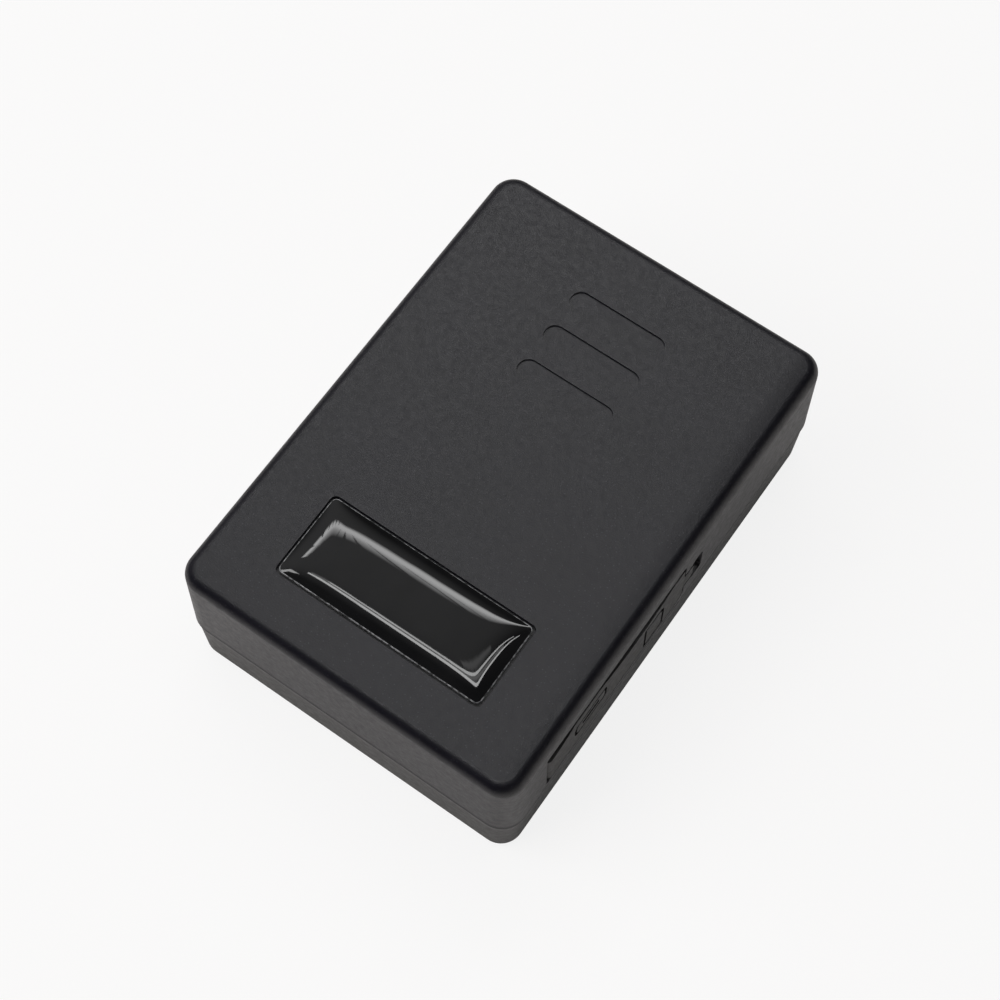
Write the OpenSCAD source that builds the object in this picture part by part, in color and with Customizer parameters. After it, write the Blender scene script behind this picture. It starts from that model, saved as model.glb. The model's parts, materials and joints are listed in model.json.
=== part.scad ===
// Battery-powered GPS tracker in a two-part moulded case with a magnetic underside.
// The underside lies on z = 0, the origin is at the middle of the footprint,
// the label is towards -Y and the rubber port cover is on the +X wall.

/* [Case] */
// Length of the top face along Y, to the edges before they are rounded
top_len = 90.5; // [84:0.5:110]
// Width of the top face along X, to the edges before they are rounded
top_wid = 63.6; // [60:0.2:80]
// Height of the case from its underside to its top face
case_h = 31; // [27:0.5:40]
// Height of the top shell, from the parting line to the top face
top_shell_h = 19; // [19:0.5:22]
// How far each wall of the top shell leans out down to the parting line
wall_flare = 0.46; // [0.3:0.02:1]
// How far the base sits in from the top shell at the parting line
base_step = 0.2; // [0:0.05:0.6]
// How far each wall of the base leans in down to the underside
base_taper = 0.44; // [0.1:0.02:0.8]
// Upright corner radius at the top face
corner_r = 4; // [3.4:0.1:6]
// Rounding of the edge round the top face
top_edge_r = 2; // [0.6:0.1:2.2]
// Rounding of the edge round the underside
base_edge_r = 1.2; // [0.6:0.1:1.6]
// Rounding of both edges at the parting line
split_edge_r = 0.5; // [0.2:0.05:0.6]
// Wall thickness of both shells
wall_t = 2.2; // [2:0.05:2.6]
// Thickness of the top face
roof_t = 2; // [1.6:0.1:2.6]
// Thickness of the bottom
floor_t = 1.6; // [1.2:0.1:2]

/* [Parting line] */
// Thickness of the base's raised lip
lip_t = 1; // [0.8:0.05:1.1]
// Height of the base's raised lip
lip_h = 1.2; // [1:0.1:1.5]
// Height of the seal ring that lies on the lip
gasket_h = 0.7; // [0.5:0.05:0.8]
// Side clearance of the lip in the top shell
lip_gap = 0.1; // [0.05:0.01:0.15]

/* [Label] */
// Length of the label recess along X
label_len = 39.1; // [30:0.5:44]
// Width of the label recess along Y
label_wid = 15.9; // [10:0.5:20]
// Distance from the case's front end to the label recess
label_inset = 9.4; // [7:0.1:12]
// Depth of the label recess
label_depth = 0.8; // [0.4:0.05:1]
// Corner radius of the label recess
label_corner_r = 1.1; // [0.8:0.1:2]
// Gap round the label in its recess
label_gap = 0.35; // [0.1:0.05:0.8]
// Thickness of the printed film
film_t = 0.15; // [0.1:0.01:0.3]
// Height of the clear dome above the film
dome_h = 1.7; // [1:0.1:2.4]
// Height of the dome's upright rim
dome_rim_h = 0.45; // [0.2:0.05:0.6]
// Radius of the dome's shoulders
dome_shoulder_r = 6; // [4:0.5:8]

/* [Moulded recess] */
// Length of each sunk bar on the top face
bar_len = 18; // [10:0.5:24]
// Width of each sunk bar
bar_wid = 4; // [2:0.2:5]
// Distance from bar to bar
bar_pitch = 7.6; // [6:0.2:9]
// Depth of the sunk bars
bar_depth = 0.3; // [0.2:0.05:0.6]
// Distance from the case's rear end to the middle bar
bar_inset = 22; // [20:0.5:26]

/* [Port cover] */
// Length of the cover along the wall, without its pull tongue
cover_len = 38.5; // [38:0.1:42]
// Height of the cover up the wall
cover_h = 11.4; // [11.2:0.1:11.6]
// Thickness of the cover's plate
cover_t = 1.1; // [0.9:0.05:1.3]
// Distance from the case's front end to the cover
cover_inset = 10.2; // [10:0.1:11]
// Distance from the top face down to the cover
cover_drop = 5.1; // [4.8:0.1:5.2]
// How far the cover's face lies inside the wall's face
cover_sink = 0.1; // [0.05:0.05:0.3]
// Gap round the cover and behind it
cover_gap = 0.3; // [0.25:0.05:0.4]
// Length of the pull tongue
tongue_len = 2.8; // [2:0.1:4]
// Height of the pull tongue
tongue_h = 4.3; // [3:0.1:5]
// Length of the nail recess beyond the tongue
nail_len = 2.5; // [2:0.1:4]
// Height of the nail recess
nail_h = 6; // [5.4:0.1:7]
// Depth of the nail recess from the wall's face
nail_depth = 2.3; // [1.8:0.1:2.4]
// How deep the marks are engraved in the cover
mark_depth = 0.3; // [0.15:0.05:0.5]
// Width of the engraved lines
mark_line = 0.5; // [0.3:0.05:0.7]
/* [Battery] */
// Clearance between the cells and the long walls
cell_side_gap = 2.2; // [2:0.1:4]
// Clearance between the cells and the corner bosses
cell_end_gap = 1; // [0.8:0.1:3]
// Rounding along the long edges of a pouch cell
cell_edge_r = 2; // [1:0.1:2.4]
// Thickness of the adhesive sheet between the cells
tape_t = 0.2; // [0.1:0.05:0.4]
// Thickness of the foam pad under the cells
pad_t = 0.6; // [0.4:0.1:1]
// Thickness of the foam between the cells and the board
foam_t = 1.2; // [1:0.1:1.6]

/* [Magnets and screws] */
// Diameter of each magnet
magnet_d = 15; // [10:0.5:16]
// Thickness of each magnet
magnet_t = 3; // [2:0.1:3.2]
// How far the magnets lie above the underside
magnet_sink = 0.2; // [0.1:0.05:0.4]
// Thread diameter of the case screws
screw_d = 1.6; // [1.4:0.1:2]
// Length of a case screw under its head
screw_len = 11; // [9:0.5:12]
// Head diameter of the case screws
screw_head_d = 3.8; // [3.2:0.1:4.2]
// Head height of the case screws
screw_head_h = 1.6; // [1.2:0.1:1.8]

/* [Board] */
// Thickness of the main board
board_t = 1; // [0.8:0.1:1.2]
// Side of the square satellite antenna
patch_side = 18; // [12:0.5:25]
// Thickness of the satellite antenna
patch_t = 4; // [3:0.1:4.5]
// Side of the square modem module
modem_side = 18; // [14:0.5:22]

/* [Hidden] */
$fn = 48;

// One overrun serves all cuts
over = 0.6;

// Case, worked out from the driving sizes
corner_x = top_wid / 2 - corner_r;
corner_y = top_len / 2 - corner_r;
split_h = case_h - top_shell_h;
lean = atan(wall_flare / top_shell_h);
top_foot = corner_r + wall_flare;
base_head = top_foot - base_step;
base_foot = base_head - base_taper;
roof_z = case_h - roof_t;
roof_head = corner_r + wall_flare * roof_t / top_shell_h - wall_t;
wall_skin = wall_t * cos(lean);
inner_edge_r = 0.6;
// A flat wall meets the round of its edge this much under the round's tangent
round_seam = 0.002;
function wall_x(z) = top_wid / 2 + wall_flare * (case_h - z) / top_shell_h;

// Corner bosses and their screws
boss_r = 3.2;
boss_in = 0.4;
boss_x = corner_x - boss_in;
boss_y = corner_y - boss_in;
screw_gap = 0.1;
thread_gap = 0.05;
screw_seat_drop = 4.5;
screw_seat_z = split_h - screw_seat_drop;
head_gap = 0.4;
pilot_spare = 0.8;
drive_w = 0.5;
drive_len_share = 0.7;
drive_depth = 0.7;

// Label in its recess, and the ends of the sunk bars
label_y = -top_len / 2 + label_inset + label_wid / 2;
film_len = label_len - 2 * label_gap;
film_wid = label_wid - 2 * label_gap;
film_z = case_h - label_depth;
bar_end_share = 0.49;

// Magnets under the cells
magnet_gap = 0.1;
pocket_roof = 1.2;
pocket_z = magnet_sink + magnet_t;
seat_z = pocket_z + pocket_roof;
magnet_place_shares = [[0, 0], [-0.54, -0.53], [0.54, -0.53], [-0.54, 0.53], [0.54, 0.53]];
magnet_wall = 1.2;

// Port cover: u runs along Y, v up the leaning wall, from the cover's middle height
cover_mid_z = case_h - cover_drop - cover_h / 2;
cover_front = -top_len / 2 + cover_inset;
cover_rear = cover_front + cover_len;
cover_round = 0.8;
cover_round_low = 2;
bay_front_r = 0.3;
hinge_r = cover_t / 2;
hinge_y = cover_front + hinge_r;
hinge_in = cover_sink + hinge_r;
cover_back = cover_sink + cover_t;
bay_depth = cover_back + cover_gap;
bay_wall = 3.2;
bay_margin = 0.5;
tongue_low = -0.1;
// The soft cover has sunk along its upper edge, most at its front end
edge_sag = 1.1;
dip_len = 8.5;
dip_depth = 3;
mid_dip_len = 13;
mid_dip_depth = 2.7;
mid_dip_from_hinge = 24.7;

// The strap that holds the cover lies in a shallow seat in the floor of the bay
strap_t = 0.7;
strap_w = 4.4;
strap_len = 4.4;
strap_gap = 0.05;
strap_in = 0.1;
strap_y = hinge_y - hinge_r / 2;
strap_top = hinge_in + hinge_r + strap_in;
stem_r = 1;
stem_shift = 0.3;
stem_y = strap_y + strap_len / 2 + stem_shift;
barb_r = 1.7;
barb_h = 0.8;

// Marks engraved in the cover, of a card and of a charging port
sim_mark_w = 5.6;
sim_mark_h = 7;
sim_mark_clip = 1.8;
port_mark_w = 8.9;
port_mark_h = 4;
port_mark_bar = 4.6;
mark_low = 0.5;

// Places along the cover of the ports behind it
usb_from_front = 11.9;
switch_from_usb = 8.6;
sim_from_switch = 9.4;
usb_y = cover_front + usb_from_front;
switch_y = usb_y + switch_from_usb;
sim_y = switch_y + sim_from_switch;

// Charging socket
usb_w = 7.5;
usb_h = 2.65;
usb_len = 5.35;
usb_skin = 0.25;
usb_chamfer = 0.9;
usb_back = 0.6;
usb_tongue_w = 3.7;
usb_tongue_t = 0.6;
usb_tongue_len = 3.6;
usb_mid_rise = 0.45;
usb_mid_z = cover_mid_z + usb_mid_rise;
usb_set_back = 5.6;
usb_face_x = wall_x(cover_mid_z) - usb_set_back;
usb_window_w = 11.4;
usb_window_h = 7.4;
usb_window_r = 1.5;
rib_gap = 0.3;
rib_t = 0.9;
rib_reach = 1.8;

// Board heights follow the charging socket, which follows the cover
board_z = usb_mid_z - usb_h / 2;
board_under = board_z - board_t;
foam_under = board_under - foam_t;
cell_t = (foam_under - seat_z - pad_t - tape_t) / 2;
lower_cell_z = seat_z + pad_t;
upper_cell_z = lower_cell_z + cell_t + tape_t;
cell_wid = top_wid - 2 * wall_t - 2 * cell_side_gap + base_step;
cell_len = 2 * (boss_y - boss_r - cell_end_gap);
cell_terrace = 2;
cell_terrace_t = 1.6;
cell_round_share = 0.45;
foam_wid_share = 0.72;
foam_len_share = 0.66;
pad_share = 0.94;
tape_share = 0.9;

// Main board
board_side_gap = 2;
board_set_back = 4.36;
tab_set_back = 3.6;
board_end_gap = 1;
board_left = -(top_wid / 2 - wall_t - board_side_gap);
board_right = wall_x(cover_mid_z) - board_set_back;
board_tab = wall_x(cover_mid_z) - tab_set_back;
board_len = 2 * (boss_y - boss_r - board_end_gap);
board_corner_r = 1;
usb_overhang = 0.55;
notch_gap = 0.85;
tab_gap = 0.5;
board_boss_r = 2;
board_screw_d = 1.2;
board_screw_len = 5;
board_head_d = 2.6;
board_head_h = 0.8;
board_screw_x_share = 0.775;
board_screw_y_share = 0.92;
board_screw_x = board_screw_x_share * top_wid / 2;
board_screw_y = board_screw_y_share * board_len / 2;

// Slide switch
switch_w = 6.7;
switch_d = 2.7;
switch_h = 1.4;
switch_travel = 2;
knob_w = 1.3;
knob_h = 0.75;
knob_root = 0.8;
knob_reach = 1.6;
knob_gap = 0.12;
knob_end_gap = 0.1;
switch_window_w = 3.9;
switch_window_h = 1.9;

// SIM socket and card
sim_w = 10.6;
sim_len = 12.6;
sim_h = 1.7;
sim_floor = 0.3;
sim_roof = 0.4;
sim_back = 0.4;
sim_inset = 0.06;
card_w = 8.8;
card_len = 12.3;
card_t = 0.67;
card_notch = 1.65;
card_gap = 0.15;
card_push = 0.8;
sim_slot_w = 9.5;
sim_slot_h = 1.6;
sim_rib_w = 8.7;
sim_rib_t = 1;
sim_rib_reach = 1.05;
sim_face_x = board_tab - sim_inset;
card_back_x = sim_face_x - sim_len + sim_back + card_push + card_gap;
card_z = board_z + sim_floor + card_gap;

// Parts on the board, placed as shares of its half length and half width
patch_share = [0.02, 0.42];
receiver_share = [0.72, 0.68];
modem_share = [-0.45, -0.36];
coax_share = [-0.72, 0.12];
header_share = [-0.6, 1];
controller_share = [0.29, -0.22];
memory_share = [0.29, -0.44];
inductor_share = [0.29, -0.65];
motion_share = [0.5, -0.46];
capacitor_shares = [
    [0.1, -0.42], [0.1, -0.5], [0.1, -0.58], [0.1, -0.83], [0.21, -0.83], [0.5, -0.64],
    [0.5, -0.75], [0.12, 0.89], [0.29, 0.89], [0.4, 0.89], [-0.22, 0.89], [-0.33, 0.89]
];
electrode_share = 0.86;
electrode_t = 0.1;
electrode_notch = 1.6;
receiver_side = 10;
receiver_h = 2.2;
modem_board_t = 0.8;
modem_can_h = 2;
modem_can_in = 1;
controller_size = [7, 7, 0.9];
memory_size = [5, 4, 1.2];
motion_size = [3, 3, 1];
inductor_side = 5;
inductor_h = 2.4;
capacitor_size = [1, 2, 0.9];
led_size = [1.6, 0.8, 0.7];
led_count = 3;
led_gap = 1.6;
led_pitch = 1.7;
led_in = 4.4;
chip_dot_r = 0.4;
chip_dot_depth = 0.1;

// Cellular antenna on the inside of the -X wall, and its coaxial lead
flex_len_share = 0.6;
flex_h = 7;
flex_t = 0.15;
flex_gap = 0.05;
flex_drop = 5.2;
flex_z = roof_z - flex_drop;
coax_r = 0.5;
coax_bend = 1.4;
coax_rise = 1.8;
socket_side = 2.6;
socket_h = 0.6;
plug_r = 1.5;
plug_h = 1.4;
coax_x = board_x(coax_share[0]);
coax_y = board_y(coax_share[1]);
coax_z = board_z + socket_h + plug_h / 2;

// Battery leads, header and plug
lead_r = 0.55;
lead_bend = 1.5;
lead_run = 1.2;
lead_pitch = 2.4;
header_w = 7.8;
header_d = 6;
header_h = 5;
header_skin = 0.8;
battery_plug_d = 5.6;
battery_plug_out = 1.4;
plug_gap = 0.1;
guard_w = 30;
guard_t = 1;
guard_h_share = 0.85;
guard_y = cell_len / 2;
guard_z = lower_cell_z + cell_t / 4;
guard_h = guard_h_share * (2 * cell_t + tape_t - cell_t / 2);
header_x = board_x(header_share[0]);
header_y = board_y(header_share[1]) - header_d - plug_gap;
plug_z = board_z + header_h / 2;

function board_x(share) = share * (board_right - board_left) / 2 + (board_right + board_left) / 2;
function board_y(share) = share * board_len / 2;

// Upright section through a wall, from the corner's centre line outwards
module rim_profile(foot, head, h, foot_r, head_r) {
    tilt = atan((foot - head) / h);
    foot_x = foot - foot_r * (1 + sin(tilt)) / cos(tilt);
    head_x = head - head_r * (1 - sin(tilt)) / cos(tilt);
    foot_in = max(foot_r - round_seam, 0);
    head_in = max(head_r - round_seam, 0);
    polygon([
        [0, 0], [foot_x, 0],
        [foot_x + foot_in * cos(tilt), foot_r + foot_in * sin(tilt)],
        [head_x + head_in * cos(tilt), h - head_r + head_in * sin(tilt)],
        [head_x, h], [0, h]
    ]);
    if (foot_r > 0) translate([foot_x, foot_r]) circle(foot_r);
    if (head_r > 0) translate([head_x, h - head_r]) circle(head_r);
}

// A slab between two corner lines, with the wall's section on both of its sides
module rim_slab(half_len, half_wid, foot, head, h, foot_r, head_r) {
    rotate([90, 0, 0]) linear_extrude(2 * half_len, center = true) {
        translate([-half_wid, 0]) square([2 * half_wid, h]);
        for (side = [0, 1]) mirror([side, 0]) translate([half_wid, 0]) rim_profile(foot, head, h, foot_r, head_r);
    }
}

// A tapered box with round corners and round edges: two slabs and four turned corners
module moulded_box(x, y, foot, head, h, foot_r = 0, head_r = 0) {
    for (turn = [0:3])
        translate([(turn == 0 || turn == 3 ? 1 : -1) * x, (turn < 2 ? 1 : -1) * y, 0])
            rotate([0, 0, 90 * turn])
                rotate_extrude(angle = 90) rim_profile(foot, head, h, foot_r, head_r);
    rim_slab(y, x, foot, head, h, foot_r, head_r);
    rotate([0, 0, 90]) rim_slab(x, y, foot, head, h, foot_r, head_r);
}

// A rectangle about its middle with four round corners
module soft_rect(w, h, r) {
    square([w - 2 * r, h], center = true);
    square([w, h - 2 * r], center = true);
    for (sx = [-1, 1], sy = [-1, 1])
        translate([sx * (w / 2 - r), sy * (h / 2 - r)]) circle(r);
}

// Places its children at the four corners of a rectangle
module at_corners(x, y) {
    for (sx = [-1, 1], sy = [-1, 1]) translate([sx * x, sy * y, 0]) children();
}

// Local axes on the port wall: X out of the wall, Y along it, Z up its lean
module on_port_wall() {
    translate([wall_x(cover_mid_z), 0, cover_mid_z]) rotate([0, -lean, 0]) children();
}

// Sets a flat outline, drawn as (along, up), out along X from the depth given
module out_from(x, depth) {
    translate([x, 0, 0]) rotate([90, 0, 90]) linear_extrude(depth) children();
}

// Outline of the cover, grown by a gap for the bay that holds it, with its own front corners
module cover_outline(grow, front_r) {
    low = -cover_h / 2;
    high = cover_h / 2;
    difference() {
        union() {
            translate([(cover_front + cover_rear) / 2, 0])
                soft_rect(cover_len + 2 * grow, cover_h + 2 * grow, cover_round + grow);
            translate([cover_front - grow + cover_h / 4, 0])
                soft_rect(cover_h / 2, cover_h + 2 * grow, front_r);
            translate([cover_rear - cover_round_low, tongue_low - tongue_h / 2 - grow])
                square([tongue_len + cover_round_low - grow, tongue_h + 2 * grow]);
        }
        difference() {
            translate([cover_rear - cover_round_low, low - grow - over])
                square([cover_round_low + grow + over, cover_round_low + over]);
            translate([cover_rear - cover_round_low, low + cover_round_low])
                circle(cover_round_low + grow);
        }
    }
    translate([cover_rear + tongue_len - 2 * cover_round, tongue_low])
        soft_rect(4 * cover_round, tongue_h + 2 * grow, cover_round);
}

// A shallow round hollow cut into an upper edge, given its half length and depth
module edge_dip(y, reach, depth) {
    dip_r = (reach * reach + depth * depth) / (2 * depth);
    translate([-cover_t - over, y, cover_h / 2 - depth + dip_r])
        rotate([0, 90, 0]) cylinder(h = cover_t + 2 * over, r = dip_r, $fn = 96);
}

// A lead with two bends, in the plane of Y and Z, drawn from the middle of its lower bend
module bent_lead(x, start_y, start_z, end_y, end_z) {
    run_y = start_y + lead_run;
    fall = start_z - end_z - 2 * lead_bend;
    translate([x, run_y, end_z + lead_bend]) {
        lead_elbow(-90);
        translate([0, 0, -lead_bend]) rotate([90, 0, 0]) linear_extrude(run_y - end_y) circle(lead_r);
        translate([0, lead_bend, 0]) linear_extrude(fall) circle(lead_r);
        translate([0, 0, fall]) {
            lead_elbow(0);
            translate([0, 0, lead_bend]) rotate([90, 0, 0]) linear_extrude(lead_run) circle(lead_r);
        }
    }
}

module lead_elbow(turn) {
    rotate([90, 0, 90]) rotate([0, 0, turn])
        rotate_extrude(angle = 90) translate([lead_bend, 0]) circle(lead_r);
}

// A chip with its first-pin dot
module chip(share, size) {
    translate([board_x(share[0]), board_y(share[1]), board_z]) difference() {
        translate([-size[0] / 2, -size[1] / 2, 0]) cube(size);
        translate([-size[0] / 2 + 2 * chip_dot_r, size[1] / 2 - 2 * chip_dot_r, size[2] - chip_dot_depth])
            cylinder(h = over, r = chip_dot_r);
    }
}

// Room inside the base, up through its lip
module base_cavity() {
    inner = base_head - wall_t;
    translate([0, 0, floor_t])
        moulded_box(corner_x, corner_y, base_foot - wall_t, inner, split_h - floor_t, inner_edge_r);
    translate([0, 0, split_h]) moulded_box(corner_x, corner_y, inner, inner, lip_h + over);
}

module base_shell() {
    lip = base_head - wall_t + lip_t;
    color([0.2, 0.19, 0.18]) difference() {
        union() {
            difference() {
                union() {
                    moulded_box(corner_x, corner_y, base_foot, base_head, split_h, base_edge_r, split_edge_r);
                    translate([0, 0, split_h / 2]) moulded_box(corner_x, corner_y, lip, lip, split_h / 2 + lip_h);
                }
                base_cavity();
            }
            translate([0, 0, floor_t / 2]) {
                at_corners(boss_x, boss_y) cylinder(h = split_h - floor_t / 2, r = boss_r);
                for (place = magnet_place_shares)
                    translate([place[0] * top_wid / 2, place[1] * top_len / 2, 0])
                        cylinder(h = seat_z - floor_t / 2, r = magnet_d / 2 + magnet_gap + magnet_wall);
            }
        }
        for (place = magnet_place_shares)
            translate([place[0] * top_wid / 2, place[1] * top_len / 2, -over])
                cylinder(h = pocket_z + over, r = magnet_d / 2 + magnet_gap);
        at_corners(boss_x, boss_y) {
            translate([0, 0, -over]) cylinder(h = screw_seat_z + over, r = screw_head_d / 2 + head_gap);
            cylinder(h = split_h + over, r = screw_d / 2 + screw_gap);
        }
    }
}

module case_body() {
    difference() {
        translate([0, 0, split_h])
            moulded_box(corner_x, corner_y, top_foot, corner_r, top_shell_h, split_edge_r, top_edge_r);
        translate([0, 0, split_h - over])
            moulded_box(corner_x, corner_y, top_foot - wall_t, top_foot - wall_t, over);
        translate([0, 0, split_h])
            moulded_box(corner_x, corner_y, top_foot - wall_t, roof_head, roof_z - split_h, 0, inner_edge_r);
    }
}

module bay_pad() {
    pad_low = -cover_h / 2 - cover_gap + split_edge_r;
    pad_front = cover_front - cover_gap - bay_margin;
    pad_rear = cover_rear + tongue_len + nail_len + bay_margin;
    on_port_wall() translate([-bay_wall, pad_front, pad_low])
        cube([bay_wall - wall_t / 2, pad_rear - pad_front, cover_h / 2 + cover_gap + bay_margin - pad_low]);
}

module port_windows() {
    x = wall_x(cover_mid_z) - bay_wall - over;
    depth = bay_wall + 2 * over;
    translate([0, usb_y, usb_mid_z]) out_from(x, depth) soft_rect(usb_window_w, usb_window_h, usb_window_r);
    translate([0, switch_y, board_z + switch_h / 2])
        out_from(x, depth) soft_rect(switch_window_w, switch_window_h, switch_window_h / 4);
    translate([0, sim_y, card_z + card_t / 2])
        out_from(x, depth) soft_rect(sim_slot_w, sim_slot_h, sim_slot_h / 4);
}

module top_shell() {
    color([0.22, 0.22, 0.23]) difference() {
        union() {
            case_body();
            bay_pad();
            translate([0, 0, split_h])
                at_corners(boss_x, boss_y) cylinder(h = roof_z - split_h + roof_t / 2, r = boss_r);
            translate([0, 0, board_z])
                at_corners(board_screw_x, board_screw_y)
                    cylinder(h = roof_z - board_z + roof_t / 2, r = board_boss_r);
        }
        // Rebate for the base's lip and the seal ring
        difference() {
            translate([0, 0, split_h - over])
                moulded_box(corner_x, corner_y, base_head - wall_t + lip_t + lip_gap,
                            base_head - wall_t + lip_t + lip_gap, lip_h + gasket_h + over);
            translate([0, 0, split_h - 2 * over])
                moulded_box(corner_x, corner_y, base_head - wall_t - lip_gap,
                            base_head - wall_t - lip_gap, case_h);
        }
        translate([0, 0, split_h - over])
            at_corners(boss_x, boss_y)
                cylinder(h = screw_seat_z + screw_len - split_h + pilot_spare + over, r = screw_d / 2 + thread_gap);
        translate([0, 0, board_z - over])
            at_corners(board_screw_x, board_screw_y)
                cylinder(h = board_screw_len - board_t + pilot_spare + over, r = board_screw_d / 2 + thread_gap);
        // Label recess and sunk bars
        translate([0, label_y, film_z])
            linear_extrude(label_depth + over) soft_rect(label_len, label_wid, label_corner_r);
        for (step = [-1:1])
            translate([0, top_len / 2 - bar_inset + step * bar_pitch, case_h - bar_depth])
                linear_extrude(bar_depth + over) soft_rect(bar_len, bar_wid, bar_end_share * bar_wid);
        // Port bay, nail recess, strap seat and stem hole
        on_port_wall() {
            out_from(-bay_depth, bay_depth + over) cover_outline(cover_gap, bay_front_r);
            translate([0, cover_rear + tongue_len + nail_len / 2 - over / 2, tongue_low])
                out_from(-nail_depth, nail_depth + over) soft_rect(nail_len + over, nail_h, cover_round);
            translate([-strap_top - strap_t - strap_gap, strap_y - strap_gap, -strap_w / 2 - strap_gap])
                cube([strap_t + bay_depth, strap_len + 2 * strap_gap, strap_w + 2 * strap_gap]);
            translate([-bay_wall - over, stem_y, 0])
                rotate([0, 90, 0]) cylinder(h = bay_wall, r = stem_r + strap_gap);
        }
        port_windows();
    }
}

module case_gasket() {
    seal_in = lip_gap / 2;
    color([0.12, 0.12, 0.12]) translate([0, 0, split_h + lip_h]) difference() {
        moulded_box(corner_x, corner_y, base_head - wall_t + lip_t - seal_in,
                    base_head - wall_t + lip_t - seal_in, gasket_h);
        translate([0, 0, -over])
            moulded_box(corner_x, corner_y, base_head - wall_t + seal_in,
                        base_head - wall_t + seal_in, gasket_h + 2 * over);
    }
}

module case_screws() {
    color([0.55, 0.55, 0.57]) at_corners(boss_x, boss_y) difference() {
        union() {
            translate([0, 0, screw_seat_z - screw_head_h]) cylinder(h = screw_head_h, r = screw_head_d / 2);
            translate([0, 0, screw_seat_z - screw_head_h / 2])
                cylinder(h = screw_len + screw_head_h / 2, r = screw_d / 2);
        }
        for (turn = [0, 90]) rotate([0, 0, turn])
            translate([-drive_len_share * screw_head_d / 2, -drive_w / 2, screw_seat_z - screw_head_h - over])
                cube([drive_len_share * screw_head_d, drive_w, drive_depth + over]);
    }
}

module magnets() {
    color([0.66, 0.66, 0.68])
        for (place = magnet_place_shares)
            translate([place[0] * top_wid / 2, place[1] * top_len / 2, magnet_sink])
                cylinder(h = magnet_t, r = magnet_d / 2);
}

module label_film() {
    color([0.03, 0.03, 0.03]) translate([0, label_y, film_z])
        linear_extrude(film_t) soft_rect(film_len, film_wid, label_corner_r - label_gap / 2);
}

// Section across the dome: an upright rim, round shoulders and a flat crown
module dome_section(w) {
    fall = dome_h - dome_rim_h;
    shoulder = sqrt(dome_shoulder_r * dome_shoulder_r - (dome_shoulder_r - fall) * (dome_shoulder_r - fall));
    intersection() {
        translate([-w / 2, 0]) square([w, dome_h]);
        union() {
            translate([-w / 2, 0]) square([w, dome_rim_h]);
            translate([-w / 2 + shoulder, 0]) square([w - 2 * shoulder, dome_h]);
            for (side = [-1, 1])
                translate([side * (w / 2 - shoulder), dome_h - dome_shoulder_r]) circle(dome_shoulder_r, $fn = 96);
        }
    }
}

module label_dome() {
    color([0.08, 0.08, 0.08]) translate([0, label_y, film_z + film_t]) intersection() {
        linear_extrude(dome_h) soft_rect(film_len, film_wid, label_corner_r - label_gap / 2);
        rotate([90, 0, 0]) linear_extrude(label_wid, center = true) dome_section(film_len);
        rotate([90, 0, 90]) linear_extrude(label_len, center = true) dome_section(film_wid);
    }
}

// Outline of a card with one clipped corner
module card_outline(w, h, clip) {
    polygon([[0, 0], [w, 0], [w, h - clip], [w - clip, h], [0, h]]);
}

module cover_marks() {
    out_from(-cover_sink - mark_depth, mark_depth + over) {
        translate([sim_y - sim_mark_w / 2, -cover_h / 2 + mark_low]) difference() {
            card_outline(sim_mark_w, sim_mark_h, sim_mark_clip);
            translate([mark_line, mark_line])
                card_outline(sim_mark_w - 2 * mark_line, sim_mark_h - 2 * mark_line, sim_mark_clip - mark_line / 2);
        }
        translate([usb_y, 0]) {
            difference() {
                soft_rect(port_mark_w, port_mark_h, port_mark_h / 4);
                soft_rect(port_mark_w - 2 * mark_line, port_mark_h - 2 * mark_line, port_mark_h / 4 - mark_line / 2);
            }
            soft_rect(port_mark_bar, 2 * mark_line, mark_line / 2);
        }
    }
}

module port_cover() {
    rib_w = usb_window_w - 2 * rib_gap;
    rib_h = usb_window_h - 2 * rib_gap;
    rib_r = usb_window_r - rib_gap;
    color([0.2, 0.19, 0.19]) on_port_wall() difference() {
        union() {
            intersection() {
                out_from(-cover_back, cover_t) cover_outline(0, cover_round);
                translate([-bay_wall, hinge_y, -cover_h])
                    cube([2 * bay_wall, cover_len + tongue_len + over, 1.5 * cover_h - edge_sag]);
            }
            translate([-hinge_in, hinge_y, -cover_h / 2 + hinge_r])
                cylinder(h = cover_h - 2 * hinge_r, r = hinge_r);
            // Hollow plug that fills the mouth of the charging port
            translate([0, usb_y, usb_mid_z - cover_mid_z]) out_from(-cover_back - rib_reach, rib_reach + cover_t / 2)
                difference() {
                    soft_rect(rib_w, rib_h, rib_r);
                    soft_rect(rib_w - 2 * rib_t, rib_h - 2 * rib_t, rib_r / 2);
                }
            // Blade that closes the card slot
            translate([0, sim_y, card_z + card_t / 2 - cover_mid_z])
                out_from(-cover_back - sim_rib_reach, sim_rib_reach + cover_t / 2)
                    soft_rect(sim_rib_w, sim_rib_t, sim_rib_t / 4);
        }
        edge_dip(cover_front, dip_len, dip_depth);
        edge_dip(cover_front + mid_dip_from_hinge, mid_dip_len, mid_dip_depth);
        cover_marks();
    }
}

module port_cover_anchor() {
    color([0.17, 0.17, 0.17]) on_port_wall() {
        translate([-strap_top - strap_t, strap_y, -strap_w / 2]) cube([strap_t, strap_len, strap_w]);
        translate([-bay_wall - barb_h / 2, stem_y, 0])
            rotate([0, 90, 0]) cylinder(h = bay_wall - strap_top + barb_h / 2 - strap_t / 2, r = stem_r);
        translate([-bay_wall - barb_h, stem_y, 0])
            rotate([0, 90, 0]) cylinder(h = barb_h, r = barb_r);
    }
}

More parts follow.
